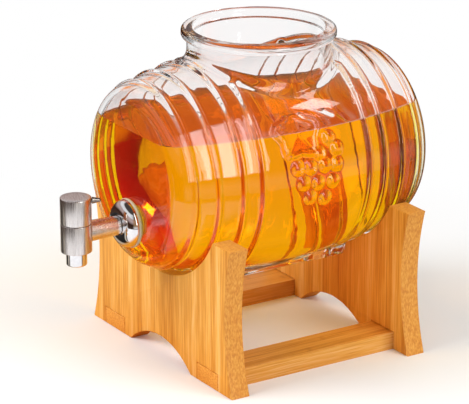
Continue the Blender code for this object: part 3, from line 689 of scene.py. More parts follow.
# %% Drink
FILL_HEIGHT = 32.9
WET_OVERLAP = 0.3
MENISCUS_RISE = 0.9
MENISCUS_REACH = 1.3
DRINK_INDEX = 1.33
DRINK_MIRROR = 0.01
DRINK_DENSITY = 200.0  # each metre takes this many times what the colour lacks
DRINK_COLOUR = (0.9998, 0.967, 0.0, 1.0)  # linear, as its red is finer than a hex code can say


def amber_drink():
    """Clear like the glass, and absorbing: light falls off as e ^ (-(1 - colour) density way)."""
    finish, tree = start_material("amber_drink")
    own = {"IOR": DRINK_INDEX, "Specular IOR Level": DRINK_MIRROR}
    shader = add_node(tree, "BsdfPrincipled", CLEAR | own)
    depth = add_node(tree, "VolumeAbsorption", {"Color": DRINK_COLOUR, "Density": DRINK_DENSITY})
    surface = let_lamps_through(tree, shader, WHITE)
    add_node(tree, "OutputMaterial", {"Surface": surface, "Volume": depth})
    return finish


def drink_grid(around_steps=110, across_steps=30):
    """Cross-sections along the barrel, each closed by the liquid's own level surface.

    Below the fill height h it is an arc r (sin a, cos a), from a = arccos(h / r) to the other side.
    """
    plain = np.linspace(-inner_start, inner_start, 70)
    reach = np.concatenate([-inner_turn_reach[::-1], plain, inner_turn_reach])
    radius = np.concatenate([inner_turn_radius[::-1], plain_inside(plain), inner_turn_radius])
    reach = reach * (inner_end + WET_OVERLAP) / inner_end
    radius = (radius + WET_OVERLAP)[:, None]
    start = np.arccos(FILL_HEIGHT / radius)
    share = np.linspace(0, 1, around_steps + 1)
    turn = start + (2 * np.pi - 2 * start) * share
    low_y, low_z = radius * np.sin(turn), radius * np.cos(turn)
    half_width = radius * np.sin(start)
    across = np.sin(np.linspace(-np.pi / 2, np.pi / 2, across_steps + 1))[1:-1]
    top_y = half_width * across
    top_z = FILL_HEIGHT + MENISCUS_RISE * np.exp(-(half_width - np.abs(top_y)) / MENISCUS_REACH)
    low_z[:, [0, -1]] += MENISCUS_RISE
    y, z = np.hstack([low_y, top_y]), np.hstack([low_z, top_z])
    x = np.broadcast_to(reach[:, None], y.shape)
    return np.stack([middle_x + x, y, axis_z + z], axis=-1)


drink_points = drink_grid()
count, loop_length = drink_points.shape[:2]
hubs = drink_points[[0, -1]].mean(axis=1)
drink_ends = np.concatenate(
    [
        fan(np.arange(loop_length), count * loop_length),
        fan((count - 1) * loop_length + np.arange(loop_length), count * loop_length + 1),
    ]
)
drink_mesh = make_mesh(
    "amber_drink",
    np.concatenate([drink_points.reshape(-1, 3), hubs]),
    [grid_quads(count, loop_length), drink_ends],
    crisp_degrees=50,
)
place_piece(drink_mesh, "vessel", amber_drink())
print("fill height above the table in mm:", round(axis_z + FILL_HEIGHT, 1))

# %% [markdown]
# ## Bamboo boards
#
# Bamboo board is pressed from split strips. On the faces of the two panels the strips stand
# upright, about 6 mm wide, each cut from another cane, so each has its own tone. Fine fibres run
# along them, and here and there a strip shows the darker band of a node of the cane. Where the
# curved side cuts across the strips, the fibre bundles end in small dark specks. One material
# does all of this: stretched noise for fibres, a random tone for each strip, and specks chosen
# by the direction that the surface faces. The boards are only oiled, so their shine is weak and a
# little rougher where the fibres are pale.

# %% Strips and fibres
STRIP_WIDTH = 6.2 * MM
NODE_SPACING = 170.0 * MM
NODE_HALF_WIDTH = 3.0 * MM
NODE_DARKNESS = 0.35
SEAM_SHARE = 0.08  # of the strip's width
SEAM_DARKNESS = 0.22
FIBRE_WIDTH = 0.9 * MM
FIBRE_LENGTH = 32.0 * MM
SPECK_SIZE = 1.1 * MM
FIBRE_WAVES = (1 / FIBRE_WIDTH, 1 / FIBRE_WIDTH, 1 / FIBRE_LENGTH)
PATCH_WAVES = (220.0, 220.0, 9.0)  # to the metre: patches 4.5 mm wide and 110 mm long
SPECK_WAVES = (1 / SPECK_SIZE, 1 / SPECK_SIZE, 0.4 / SPECK_SIZE)
STRIP_TONES = ((0.0, "#BC7022"), (0.35, "#D89238"), (0.65, "#E8A64A"), (1.0, "#F2BE76"))


def strip_colour(tree, place, fibres, patches):
    """A ramp of the strip's random number plus fibres plus patches, darker at nodes and seams."""
    parts = add_node(tree, "SeparateXYZ", [place]).outputs
    strip = add_node(tree, "Math", [parts["Y"], STRIP_WIDTH], operation="DIVIDE")
    number = add_node(tree, "Math", [strip], operation="FLOOR")
    random = add_node(tree, "TexWhiteNoise", [number], noise_dimensions="1D")
    streaks = add_node(tree, "MapRange", [fibres, 0.34, 0.66])  # where nearly all of the noise lies
    tone = add_node(tree, "Math", [random, streaks], operation="ADD")
    tone = add_node(tree, "Math", [tone, patches], operation="ADD")
    tone = add_node(tree, "MapRange", [tone, 0.5, 2.5])
    colour = add_node(tree, "ValToRGB", [tone], stops=STRIP_TONES)

    shift = add_node(tree, "Math", [random, NODE_SPACING], operation="MULTIPLY")
    height = add_node(tree, "Math", [parts["Z"], shift], operation="ADD")
    from_node = add_node(tree, "Math", [height, NODE_SPACING], operation="PINGPONG")
    band = add_node(tree, "MapRange", [from_node, 0.0, NODE_HALF_WIDTH, NODE_DARKNESS, 0.0])
    colour = add_node(tree, "Mix", [band, colour, "#B56E2C"], data_type="RGBA")

    within = add_node(tree, "Math", [strip], operation="FRACT")
    from_seam = add_node(tree, "Math", [within, 0.5], operation="PINGPONG")
    seam = add_node(tree, "MapRange", [from_seam, 0.0, SEAM_SHARE, SEAM_DARKNESS, 0.0])
    return add_node(tree, "Mix", [seam, colour, "#B87634"], data_type="RGBA")


print("strips of", round(STRIP_WIDTH / MM, 1), "mm")

# %% [markdown]
# The specks need to know where the strips are cut across: on a panel that is where the surface
# doesn't face along X, and on a bar it is where it does. The bars are laid on their side, so their
# grain is turned by a Mapping node.

# %% Bamboo
SPECK_TONES = ((0.34, "#D08238"), (0.46, "#DC923C"), (0.6, "#E4A046"), (0.74, "#EAAC54"))
PANEL_ENDS = (0.3, 0.6, 1.0, 0.0)
BAR_ENDS = (0.4, 0.7, 0.0, 1.0)
FIBRE_RELIEF = 0.15 * MM


def bamboo(name, grain_turn, cut_ends):
    """Strips along Z before the turn, and specks by how far the surface faces along X."""
    finish, tree = start_material(name)
    place = add_node(tree, "TexCoord").outputs
    normal = add_node(tree, "SeparateXYZ", [place["Normal"]])
    place = add_node(tree, "Mapping", {"Vector": place["Object"], "Rotation": grain_turn})
    noises = []
    for waves, detail in ((FIBRE_WAVES, 3.0), (PATCH_WAVES, 2.0), (SPECK_WAVES, 2.0)):
        stretched = add_node(tree, "VectorMath", [place, waves], operation="MULTIPLY")
        noises.append(add_node(tree, "TexNoise", {"Vector": stretched, "Scale": 1.0, "Detail": detail}))
    fibres, patches, specks = noises

    colour = strip_colour(tree, place, fibres, patches)
    specked = add_node(tree, "ValToRGB", [specks], stops=SPECK_TONES)
    sideways = add_node(tree, "Math", [normal.outputs["X"]], operation="ABSOLUTE")
    cut = add_node(tree, "MapRange", [sideways, *cut_ends])
    inputs = {
        "Base Color": add_node(tree, "Mix", [cut, colour, specked], data_type="RGBA"),
        "Roughness": add_node(tree, "MapRange", [fibres, 0.0, 1.0, 0.34, 0.5]),
        "IOR": 1.5,
        "Specular IOR Level": 0.25,
        "Normal": add_node(tree, "Bump", {"Height": fibres, "Strength": 0.35, "Distance": FIBRE_RELIEF}),
    }
    add_node(tree, "OutputMaterial", [add_node(tree, "BsdfPrincipled", inputs)])
    return finish


panel_bamboo = bamboo("pressed_bamboo_panel", (0.0, 0.0, 0.0), PANEL_ENDS)
bar_bamboo = bamboo("pressed_bamboo_bar", (0.0, math.radians(90), 0.0), BAR_ENDS)
print("made", panel_bamboo.name, "and", bar_bamboo.name)

# %% [markdown]
# ## Shaping the boards
#
# Each panel is one sawn outline: a saddle above, hollow sides, an arch below and two slots for the
# bars. The outline is a closed row of points. Carried through the thickness, and drawn in a little
# at both faces, it becomes a board with eased edges, the way a router leaves it. The two flat
# faces are single many-sided faces.

# %% Board helper
BOARD_EDGE = 0.9


def resampled(points, longest):
    """The same closed outline with each side cut into equal parts no longer than given."""
    following = np.roll(points, -1, axis=0)
    parts = []
    for here, there in zip(points, following):
        steps = max(1, math.ceil(np.hypot(*(there - here)) / longest))
        parts.append(here + (there - here) * np.linspace(0, 1, steps, endpoint=False)[:, None])
    return np.concatenate(parts)


def drawn_in(points, inset):
    """The outline moved inwards: each corner goes by inset (n1 + n2) / (1 + n1 . n2)."""
    before, after = points - np.roll(points, 1, axis=0), np.roll(points, -1, axis=0) - points
    normals = [
        np.stack([-side[:, 1], side[:, 0]], axis=-1) / np.hypot(side[:, 0], side[:, 1])[:, None]
        for side in (before, after)
    ]
    dot = np.clip((normals[0] * normals[1]).sum(axis=1, keepdims=True), -0.5, 1.0)
    return points + inset * (normals[0] + normals[1]) / (1 + dot)


def board(name, outline, start, end, steps=3):
    """A counter-clockwise (y, z) outline through a thickness along X, its edges a quarter circle."""
    turn = np.radians(np.linspace(90, 0, steps + 1))
    inset = BOARD_EDGE * (1 - np.cos(turn))
    insets = np.concatenate([inset, inset[::-1]])
    depth = BOARD_EDGE * (1 - np.sin(turn))
    places = np.concatenate([start + depth, end - depth[::-1]])
    layers = [
        np.column_stack([np.full(len(outline), x), drawn_in(outline, inset)])
        for x, inset in zip(places, insets)
    ]
    count = len(outline)
    faces = [
        grid_quads(len(layers), count),
        np.arange(count)[None, :],
        (len(layers) - 1) * count + np.arange(count)[None, :],
    ]
    return make_mesh(name, np.stack(layers), faces, crisp_degrees=30)


print("edge radius in mm:", BOARD_EDGE)

# %% [markdown]
# Half of the panel's outline is drawn and the other half is its mirror image. The hollow sides and
# the arch are arcs given by their two ends and how far they stand off, which is how one would mark
# them out on the board. The slots fit the bars, and the bars are plain blocks with eased edges.

# %% Panels and bars
EAR_INSET = 2.0
WAIST_DEPTH = 8.5
SADDLE_FLOOR = 65.0
SADDLE_RADIUS = 80.308
ARCH_WIDTH = 82.0
ARCH_HEIGHT = 15.5
SLOT_CLEARANCE = 0.3
LONGEST_SIDE = 6.0


def bowed(start, end, hollow, steps):
    """The circular arc from start to end whose middle stands off the chord by hollow.

    With a chord c and a hollow h, its radius is (c^2 / 4 + h^2) / 2h.
    """
    start, end = np.array(start), np.array(end)
    chord = end - start
    length = np.hypot(*chord)
    across = np.array([-chord[1], chord[0]]) / length
    radius = (length**2 / 4 + hollow**2) / (2 * hollow)
    half_angle = np.arcsin(length / 2 / radius)
    turn = np.linspace(-half_angle, half_angle, steps + 1)[:, None]
    centre = (start + end) / 2 - across * (radius - hollow)
    return centre + chord / length * radius * np.sin(turn) + across * radius * np.cos(turn)


def panel_outline(half_foot, ear_height, slot_inner, slot_outer, slot_top):
    """Arcs and straight sides from the arch's crown to the saddle's floor, then their mirror image."""
    arch = bowed((-ARCH_WIDTH / 2, 0), (ARCH_WIDTH / 2, 0), ARCH_HEIGHT, 48)
    slot = [(slot_inner, 0), (slot_inner, slot_top), (slot_outer, slot_top), (slot_outer, 0)]
    side = bowed((half_foot, 0), (half_foot - EAR_INSET, ear_height), WAIST_DEPTH, 30)
    centre = SADDLE_FLOOR + SADDLE_RADIUS
    tip = math.acos((centre - ear_height) / SADDLE_RADIUS)
    turn = np.linspace(tip, 0, 31)
    saddle = np.stack([SADDLE_RADIUS * np.sin(turn), centre - SADDLE_RADIUS * np.cos(turn)], axis=-1)
    half = np.concatenate([arch[24:], slot, side, saddle])
    return resampled(np.concatenate([half, half[-2:0:-1] * (-1, 1)]), LONGEST_SIDE)


_, panel_high = [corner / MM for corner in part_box("front_panel")]
bar_low, bar_high = [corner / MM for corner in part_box("near_bar")]
outline = panel_outline(
    panel_high.y,
    panel_high.z,
    -bar_high.y - SLOT_CLEARANCE,
    -bar_low.y + SLOT_CLEARANCE,
    bar_high.z + SLOT_CLEARANCE,
)
for node in ("front_panel", "rear_panel"):
    low, high = [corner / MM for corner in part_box(node)]
    place_piece(board(node + "_board", outline, low.x, high.x), "cradle", panel_bamboo, node)
for node in ("near_bar", "far_bar"):
    low, high = [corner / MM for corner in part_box(node)]
    corners = np.array([(low.y, low.z), (high.y, low.z), (high.y, high.z), (low.y, high.z)])
    place_piece(board(node + "_board", corners, low.x, high.x), "cradle", bar_bamboo, node)
print("outline points:", len(outline))

# %% [markdown]
# ## Metals, silicone and plastic
#
# The tap is stainless steel. Its two cylinders are brushed lengthwise on a belt, which spreads
# reflections sideways and leaves hairlines. The rosette and nozzle are plated and polished bright,
# so they're seen almost only by what they mirror. The shank is a satin tube, whose reflections run
# into soft bands, and the lever is a darker pin. The gaskets are moulded silicone, milky where
# they're thick. The plug's sleeve is white acetal, slippery and smooth, and the small rings are
# black nitrile rubber, matt as it comes from the mould.
#
# All of these are one recipe. A noise as fine as the marks of the belt, the polish or the mould
# gives the tone, and where it shows also the roughness and a tiny relief.

# %% Metal and gasket finishes
HAIRLINE = (0.35, 0.35, 17.5)  # real hairlines are ten times finer and would not show
POLISH_MARK = (2.5, 2.5, 2.5)
MOULD_GRAIN = (1.5, 1.5, 1.5)
MARK_RELIEF = 0.05 * MM
METAL = {"Metallic": 1.0}


def worked(name, marks, detail, tones, constants, roughness=None, relief=0.0):
    """Tones, roughness limits and a relief's strength, all read from one noise of the marks in mm."""
    finish, tree = start_material(name)
    place = add_node(tree, "TexCoord").outputs["Object"]
    scale = [1 / (size * MM) for size in marks]
    place = add_node(tree, "Mapping", {"Vector": place, "Scale": scale})
    cloud = add_node(tree, "TexNoise", {"Vector": place, "Scale": 1.0, "Detail": detail})
    inputs = constants | {"Base Color": add_node(tree, "ValToRGB", [cloud], stops=tones)}
    if roughness:
        inputs["Roughness"] = add_node(tree, "MapRange", [cloud, 0.0, 1.0, *roughness])
    if relief:
        marked = {"Height": cloud, "Strength": relief, "Distance": MARK_RELIEF}
        inputs["Normal"] = add_node(tree, "Bump", marked)
    add_node(tree, "OutputMaterial", [add_node(tree, "BsdfPrincipled", inputs)])
    return finish


def polished(name, deep, pale, least, most):
    """Metal whose tone and roughness drift a little between two limits."""
    return worked(name, POLISH_MARK, 3.0, ((0.3, deep), (0.7, pale)), METAL, (least, most))


def moulded(name, deep, pale, roughness, index, through=0.0):
    """Rubber or plastic from a mould: two close tones, a fine grain, and some light let through."""
    constants = {"Roughness": roughness, "IOR": index, "Transmission Weight": through}
    return worked(name, MOULD_GRAIN, 2.0, ((0.3, deep), (0.7, pale)), constants, relief=0.2)


BELT_TONES = ((0.3, "#B4AEAA"), (0.55, "#E4E0DE"), (0.8, "#F0ECEA"))
tap_steel = worked("brushed_stainless_steel", HAIRLINE, 2.0, BELT_TONES, METAL, (0.2, 0.36), 0.12)
chrome = polished("polished_chrome_plate", "#DCDCDE", "#EDEDEE", 0.02, 0.07)
satin_steel = polished("satin_steel_shank", "#DCDCDE", "#EDEDEE", 0.22, 0.3)
lever_steel = polished("dark_steel_pin", "#6E6864", "#8E8884", 0.2, 0.3)
silicone = moulded("milky_silicone", "#E2D2BA", "#F1E6D4", 0.35, 1.41, through=0.35)
white_plastic = moulded("white_acetal_plastic", "#E2E1DA", "#F0EFEA", 0.35, 1.48)
black_rubber = moulded("black_nitrile_rubber", "#161616", "#2A2A2A", 0.55, 1.52)
print("metal and gasket finishes made")

# %% [markdown]
# ## The tap, turned on a lathe
#
# Every part of the tap is a profile turned about an axis: the cylinders and the nozzle about the
# upright one, the shank, rosette and gaskets about the level one. A small round on each edge is
# what a turned edge looks like, and it catches a thin line of light.

# %% Lathe helper
LATHE_STEPS = 72
WIDE_STEPS = 96  # for the wide pieces, whose outline would show its corners


def turned(name, profile, centre, level, steps=LATHE_STEPS, closed=True, crisp=35):
    """Points centre + along + radius (cos a, sin a), from a profile of (along, radius) pairs."""
    profile = np.asarray(profile, float)
    angle = np.arange(steps) * 2 * np.pi / steps
    along = np.broadcast_to(profile[:, :1], (len(profile), steps))
    first, second = profile[:, 1:] * np.cos(angle), profile[:, 1:] * np.sin(angle)
    order = [along, first, second] if level else [first, second, along]
    points = np.stack(order, axis=-1) + np.array(centre)
    faces = [grid_quads(len(profile), steps, wrap_rows=closed)]
    flat = points.reshape(-1, 3)
    if not closed:
        last = (len(profile) - 1) * steps
        hubs = points[[0, -1]].mean(axis=1)
        faces.append(fan(np.arange(steps), len(flat)))
        faces.append(fan(last + np.arange(steps), len(flat) + 1))
        flat = np.concatenate([flat, hubs])
    return make_mesh(name, flat, faces, crisp_degrees=crisp)


def eased(profile, size=0.4, steps=3):
    """Corners c become short curves c + size (u (1-t)^2 + v t^2), with u and v along the sides."""
    corners = np.asarray(profile, float)
    before = np.roll(corners, 1, axis=0) - corners
    after = np.roll(corners, -1, axis=0) - corners
    reach = [np.minimum(size, np.hypot(*side.T) / 2.2)[:, None] for side in (before, after)]
    unit = [side / np.hypot(*side.T)[:, None] for side in (before, after)]
    share = np.linspace(0, 1, steps + 1)[None, :, None]
    start, end = unit[0] * reach[0], unit[1] * reach[1]
    curve = corners[:, None] + start[:, None] * (1 - share) ** 2 + end[:, None] * share**2
    return curve.reshape(-1, 2)


body_low, body_high = [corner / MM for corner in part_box("tap_body")]
cap_low, cap_high = [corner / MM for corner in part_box("turning_cap")]
tap_x = (body_low.x + body_high.x) / 2
tap_radius = (body_high.x - body_low.x) / 2
tap_foot = (tap_x, 0.0, body_low.z)
tap_z = axis_z - tap_drop
shank_axis = (tap_x, 0.0, tap_z)
print("tap radius and axis height in mm:", round(tap_radius, 2), round(tap_z, 2))

# %% [markdown]
# The body is a cylinder with the valve's chamber from above and the nozzle's socket from below. The
# cap above the seam turns, with a small round where a hand would feel the edge. The nozzle is a
# short tube, rounded at the lip so that the last drop lets go.

# %% Body, cap and nozzle
CHAMBER_RADIUS = 8.0
CHAMBER_FLOOR = 5.9
SOCKET_RADIUS = 5.9
SOCKET_DEPTH = 4.0
BORE_RADIUS = 3.6
SEAT_GAP = 0.3
CAP_ROOF = 1.9
CAP_STEP = 23.5
SPINDLE_HOLE = 3.5
SEAM_ROUND = 0.5
CAP_ROUND = 0.7
POLE_RADIUS = 0.4  # the first and last rings, which are closed by fans
NOZZLE_RADIUS = 7.2
NOZZLE_ROUND = 1.2
body_height = body_high.z - body_low.z
cap_start, cap_top = cap_low.z - body_low.z, cap_high.z - body_low.z

body_profile = [
    (0.0, SOCKET_RADIUS),
    (0.0, tap_radius),
    (body_height, tap_radius),
    (body_height, CHAMBER_RADIUS),
    (CHAMBER_FLOOR, CHAMBER_RADIUS),
    (CHAMBER_FLOOR, BORE_RADIUS),
    (SOCKET_DEPTH, BORE_RADIUS),
    (SOCKET_DEPTH, SOCKET_RADIUS),
]
body_mesh = turned("tap_lower_cylinder", eased(body_profile), tap_foot, False, WIDE_STEPS)
place_piece(body_mesh, "vessel", tap_steel, "tap_body")

cap_profile = np.concatenate(
    [
        [(cap_top - CAP_ROOF, POLE_RADIUS), (cap_top - CAP_ROOF, SPINDLE_HOLE)],
        [(CAP_STEP, SPINDLE_HOLE), (CAP_STEP, CHAMBER_RADIUS)],
        [(cap_start, CHAMBER_RADIUS), (cap_start, tap_radius - SEAM_ROUND)],
        arc(cap_start + SEAM_ROUND, tap_radius - SEAM_ROUND, SEAM_ROUND, 180, 90, 3),
        arc(cap_top - CAP_ROUND, tap_radius - CAP_ROUND, CAP_ROUND, 90, 0, 4),
        [(cap_top, tap_radius * 0.5), (cap_top, POLE_RADIUS)],
    ]
)
cap_mesh = turned("tap_turning_cap", cap_profile, tap_foot, False, WIDE_STEPS, closed=False)
place_piece(cap_mesh, "tap_handle", tap_steel, "turning_cap")

nozzle_low, nozzle_high = [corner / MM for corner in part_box("outlet_nozzle")]
lip, nozzle_top = nozzle_low.z - body_low.z, nozzle_high.z - body_low.z
nozzle_profile = np.concatenate(
    [
        [(nozzle_top, BORE_RADIUS), (lip + 0.5, BORE_RADIUS), (lip, BORE_RADIUS + 0.5)],
        arc(lip + NOZZLE_ROUND, NOZZLE_RADIUS - NOZZLE_ROUND, NOZZLE_ROUND, 180, 90, 5),
        [(-SEAT_GAP - 0.2, NOZZLE_RADIUS), (-SEAT_GAP, NOZZLE_RADIUS - 0.2)],
        [(-SEAT_GAP, SOCKET_RADIUS - SEAT_GAP), (nozzle_top, SOCKET_RADIUS - SEAT_GAP)],
    ]
)
place_piece(turned("tap_nozzle", nozzle_profile, tap_foot, False), "vessel", chrome, "outlet_nozzle")
print("tap cylinders and nozzle made")

# %% [markdown]
# The shank's near end is coped: it is cut to the round of the tap body, so its first ring lies on
# that cylinder. The far end carries the thread, a ridge that climbs by one pitch each turn. It is
# drawn at 1.75 mm, a little coarser than the real thread, so that it shows through the drink.

# %% Shank with its thread
SHANK_RADIUS = 7.3
SHANK_NECK = 6.8
THREAD_RADIUS = 6.0
THREAD_DEPTH = 0.5
THREAD_PITCH = 1.75
THREAD_RUNOUT = 0.8
THREAD_BEVEL = 0.9


def shank_grid(shoulder_at, thread_end, steps=60):
    """A coped end at sqrt(R^2 - y^2), a slim taper, and a thread r - d (1 + sin(2 pi x / p - a)) / 2."""
    angle = np.arange(steps) * 2 * np.pi / steps
    cope = np.sqrt((tap_radius + SEAT_GAP) ** 2 - (SHANK_RADIUS * np.cos(angle)) ** 2)
    taper = np.linspace(0, 1, 12)[:, None]
    taper_along = cope * (1 - taper) + shoulder_at * taper
    taper_radius = SHANK_RADIUS + (SHANK_NECK - SHANK_RADIUS) * taper + 0 * angle
    thread_along = np.linspace(shoulder_at, thread_end - THREAD_RUNOUT, 110)[:, None] + 0 * angle
    wave = (1 + np.sin(2 * np.pi * thread_along / THREAD_PITCH - angle)) / 2
    thread_radius = THREAD_RADIUS - THREAD_DEPTH * wave
    end_along = np.array([[thread_end], [thread_end], [shoulder_at]]) + 0 * angle
    end_radius = np.array([[THREAD_RADIUS - THREAD_BEVEL], [BORE_RADIUS], [BORE_RADIUS]]) + 0 * angle
    along = np.vstack([taper_along, thread_along, end_along, cope])
    radius = np.vstack([taper_radius, thread_radius, end_radius, np.full(steps, BORE_RADIUS)])
    return np.stack([along, radius * np.cos(angle), radius * np.sin(angle)], axis=-1) + shank_axis


rosette_low, rosette_high = [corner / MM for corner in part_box("escutcheon")]
_, shank_high = [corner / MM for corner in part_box("tap_shank")]
rosette_front, rosette_back = rosette_low.x - tap_x, rosette_high.x - tap_x
shank_points = shank_grid(rosette_front - SEAT_GAP, shank_high.x - tap_x)
shank_faces = grid_quads(*shank_points.shape[:2], wrap_rows=True)
shank_mesh = make_mesh("tap_shank_tube", shank_points, [shank_faces], crisp_degrees=50)
place_piece(shank_mesh, "vessel", satin_steel, "tap_shank")
print("shank faces:", len(shank_mesh.polygons))

# %% [markdown]
# The pieces on the shank clamp the glass between them. The rosette is a pressed sheet: its dome is
# an ellipse turned about the shank, with the same curve again inside. The gaskets and the washer
# are rings whose edges are eased, and the nut is a hexagon whose corners a cone trims off.

# %% Rosette, gaskets, washer and nut
ROSETTE_FACE = 8.2
ROSETTE_WALL = 1.6
ROSETTE_EDGE = 0.3
NUT_CHAMFER = 0.2
NUT_CHAMFER_SLOPE = 1.75
HOLE_RADIUS = THREAD_RADIUS + SEAT_GAP


def dome(depth, rim, face, back, steps=14):
    """Quarter ellipse from the rim at the back, (back - depth sin a, face + (rim - face) cos a)."""
    turn = np.radians(np.linspace(0, 90, steps + 1))
    return np.stack([back - depth * np.sin(turn), face + (rim - face) * np.cos(turn)], axis=-1)


depth = rosette_back - rosette_front
rim = (rosette_high.z - rosette_low.z) / 2
rosette_profile = np.concatenate(
    [
        dome(depth, rim, ROSETTE_FACE, rosette_back),
        [(rosette_front, HOLE_RADIUS + ROSETTE_EDGE), (rosette_front + ROSETTE_EDGE, HOLE_RADIUS)],
        [(rosette_front + ROSETTE_WALL, HOLE_RADIUS)],
        dome(depth - ROSETTE_WALL, rim - ROSETTE_WALL, ROSETTE_FACE, rosette_back)[::-1],
    ]
)
rosette_mesh = turned("tap_rosette", rosette_profile, shank_axis, True, WIDE_STEPS, crisp=50)
place_piece(rosette_mesh, "vessel", chrome, "escutcheon")


def washer_profile(node, edge):
    """A ring's section, from the solid's own box, with its corners eased."""
    low, high = [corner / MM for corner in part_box(node)]
    start, end, radius = low.x - tap_x, high.x - tap_x, (high.z - low.z) / 2
    return eased([(start, HOLE_RADIUS), (start, radius), (end, radius), (end, HOLE_RADIUS)], edge)


for name, node, finish, edge in (
    ("silicone_gasket_outside", "outer_gasket", silicone, 0.9),
    ("silicone_gasket_inside", "inner_gasket", silicone, 0.7),
    ("steel_backing_washer", "backing_washer", tap_steel, 0.3),
):
    mesh = turned(name, washer_profile(node, edge), shank_axis, True, WIDE_STEPS)
    place_piece(mesh, "vessel", finish, node)

nut_low, nut_high = [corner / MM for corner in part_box("lock_nut")]


def nut_grid(start, end, flats, steps=72):
    """Six sides, r = (flats / 2) / cos(angle within a side), trimmed near both faces by a cone."""
    angle = np.arange(steps) * 2 * np.pi / steps
    side = (angle + np.pi / 6) % (np.pi / 3) - np.pi / 6
    hexagon = flats / 2 / np.cos(side)
    share = np.linspace(0, 1, 13)[:, None]
    along = start + (end - start) * share + 0 * angle
    trim = flats / 2 - NUT_CHAMFER + NUT_CHAMFER_SLOPE * np.minimum(along - start, end - along)
    outside = np.minimum(hexagon, trim)
    bore_along = np.array([[end], [start]]) + 0 * angle
    along = np.vstack([along, bore_along])
    radius = np.vstack([outside, np.full((2, steps), HOLE_RADIUS)])
    return np.stack([along, radius * np.cos(angle), radius * np.sin(angle)], axis=-1) + shank_axis


nut_flats = min(nut_high.y - nut_low.y, nut_high.z - nut_low.z)
nut_points = nut_grid(nut_low.x - tap_x, nut_high.x - tap_x, nut_flats)
nut_faces = grid_quads(*nut_points.shape[:2], wrap_rows=True)
nut_mesh = make_mesh("steel_lock_nut", nut_points, [nut_faces], crisp_degrees=25)
place_piece(nut_mesh, "vessel", tap_steel, "lock_nut")
print("clamping pieces made")

# %% [markdown]
# ## The lever
#
# The little lever is a tapered pin screwed into the cap. It points back over the shank and 25
# degrees to the near side, so its profile is turned about X first and then swung round the tap's
# axis. It rides on the handle and sweeps a quarter turn with it.

# %% Lever
LEVER_TURN = math.radians(-25.0)
LEVER_LENGTH = 6.5
LEVER_ROOT = 2.4
LEVER_TIP = 1.5
LEVER_DROP = 2.9
SCREW_RADIUS = 1.6

screw_start, cap_side = tap_radius * 0.6, tap_radius + SEAT_GAP
lever_profile = np.concatenate(
    [
        [(screw_start, 0.2), (screw_start, SCREW_RADIUS), (cap_side, SCREW_RADIUS)],
        [(cap_side, LEVER_ROOT - 0.2), (cap_side + 0.2, LEVER_ROOT)],
        arc(tap_radius + LEVER_LENGTH - LEVER_TIP, 0.0, LEVER_TIP, 80, 4, 7),
    ]
)
lever_mesh = turned("tap_lever", lever_profile, (0.0, 0.0, 0.0), True, 48, closed=False)
lever_points = np.empty(len(lever_mesh.vertices) * 3)
lever_mesh.vertices.foreach_get("co", lever_points)
lever_points = lever_points.reshape(-1, 3)
swing = np.array(
    [
        (math.cos(LEVER_TURN), -math.sin(LEVER_TURN), 0),
        (math.sin(LEVER_TURN), math.cos(LEVER_TURN), 0),
        (0, 0, 1),
    ]
)
lever_place = np.array((tap_x, 0, cap_high.z - LEVER_DROP)) * MM
lever_mesh.vertices.foreach_set("co", (lever_points @ swing.T + lever_place).ravel())
lever_mesh.update()
place_piece(lever_mesh, "tap_handle", lever_steel, "lever_pin")
print("lever made")

# %% [markdown]
# ## The valve inside the tap
#
# Plug, sleeve, seals and washers sit inside the tap and are seen only when it's taken apart. Their
# solids are already right, so they keep their shapes and get the finishes of the real pieces.

# %% Hidden pieces
for node, finish in (
    ("valve_plug", tap_steel),
    ("bonnet_ring", tap_steel),
    ("seat_sleeve", white_plastic),
    ("thrust_washer", white_plastic),
    ("spindle_seal", black_rubber),
    ("nozzle_seal", black_rubber),
):
    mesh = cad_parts[node].data
    mesh.materials.clear()
    mesh.materials.append(finish)
print("hidden pieces finished")

# %% [markdown]
# ## Table and light
#
# The dispenser stands on a plain matt table in front of a white background. Seen straight, the
# table is pale, takes the shadow, and turns into plain white towards its edge, so that the edge
# doesn't show.
#
# Glass, drink and metal look like what stands round them, so a photographer sets up cards and
# coloured ground that the lens never sees. Here the table stands in for them: its colour is painted
# by the kind of ray, which a Light Path node tells. A mirrored ray finds painted reflections: a ring
# of dark and pale cards round the tap, a painted amber glow of light through the drink close to the
# cradle, and dark ground to the right and far off. A ray that came through the glass finds a painted
# amber glow that turns to painted red-brown shade further out and pale in the distance. Right under
# the cradle the table's colour for bounced light is a painted warm brown, so the light that comes
# back up is warm, as it is between wooden boards.

# %% Ways that a ray can come
CAMERA_WAY = (-math.sin(VIEW_TURN), -math.cos(VIEW_TURN), 0.0)
LEFT_WAY = (-math.cos(VIEW_TURN), math.sin(VIEW_TURN), 0.0)
RIGHT_WAY = (0.51, -0.86, 0.0)
UP_WAY = (0.0, 0.0, 1.0)


def mirrored_ray(tree):
    """1 for a ray that was just reflected, 0 for one that came through: glossy less transmitted."""
    path = add_node(tree, "LightPath").outputs
    kinds = [path["Is Glossy Ray"], path["Is Transmission Ray"]]
    return add_node(tree, "Math", kinds, operation="SUBTRACT", use_clamp=True)


def bounced(tree):
    """1 for a ray that was mirrored one to three times on its way, 0 for none and for more."""
    depth = add_node(tree, "LightPath").outputs["Glossy Depth"]
    some, few = [add_node(tree, "MapRange", [depth, *limits]) for limits in ((0.0, 1.0), (4.0, 3.0))]
    return add_node(tree, "Math", [some, few], operation="MULTIPLY")


def on_side(tree, place, way, low, high):
    """0 below one distance along a way and 1 beyond another, with a smooth step between."""
    along = add_node(tree, "VectorMath", [place, way], operation="DOT_PRODUCT")
    return add_node(tree, "MapRange", [along, low, high], interpolation_type="SMOOTHSTEP")


print("camera's way:", [round(part, 3) for part in CAMERA_WAY])
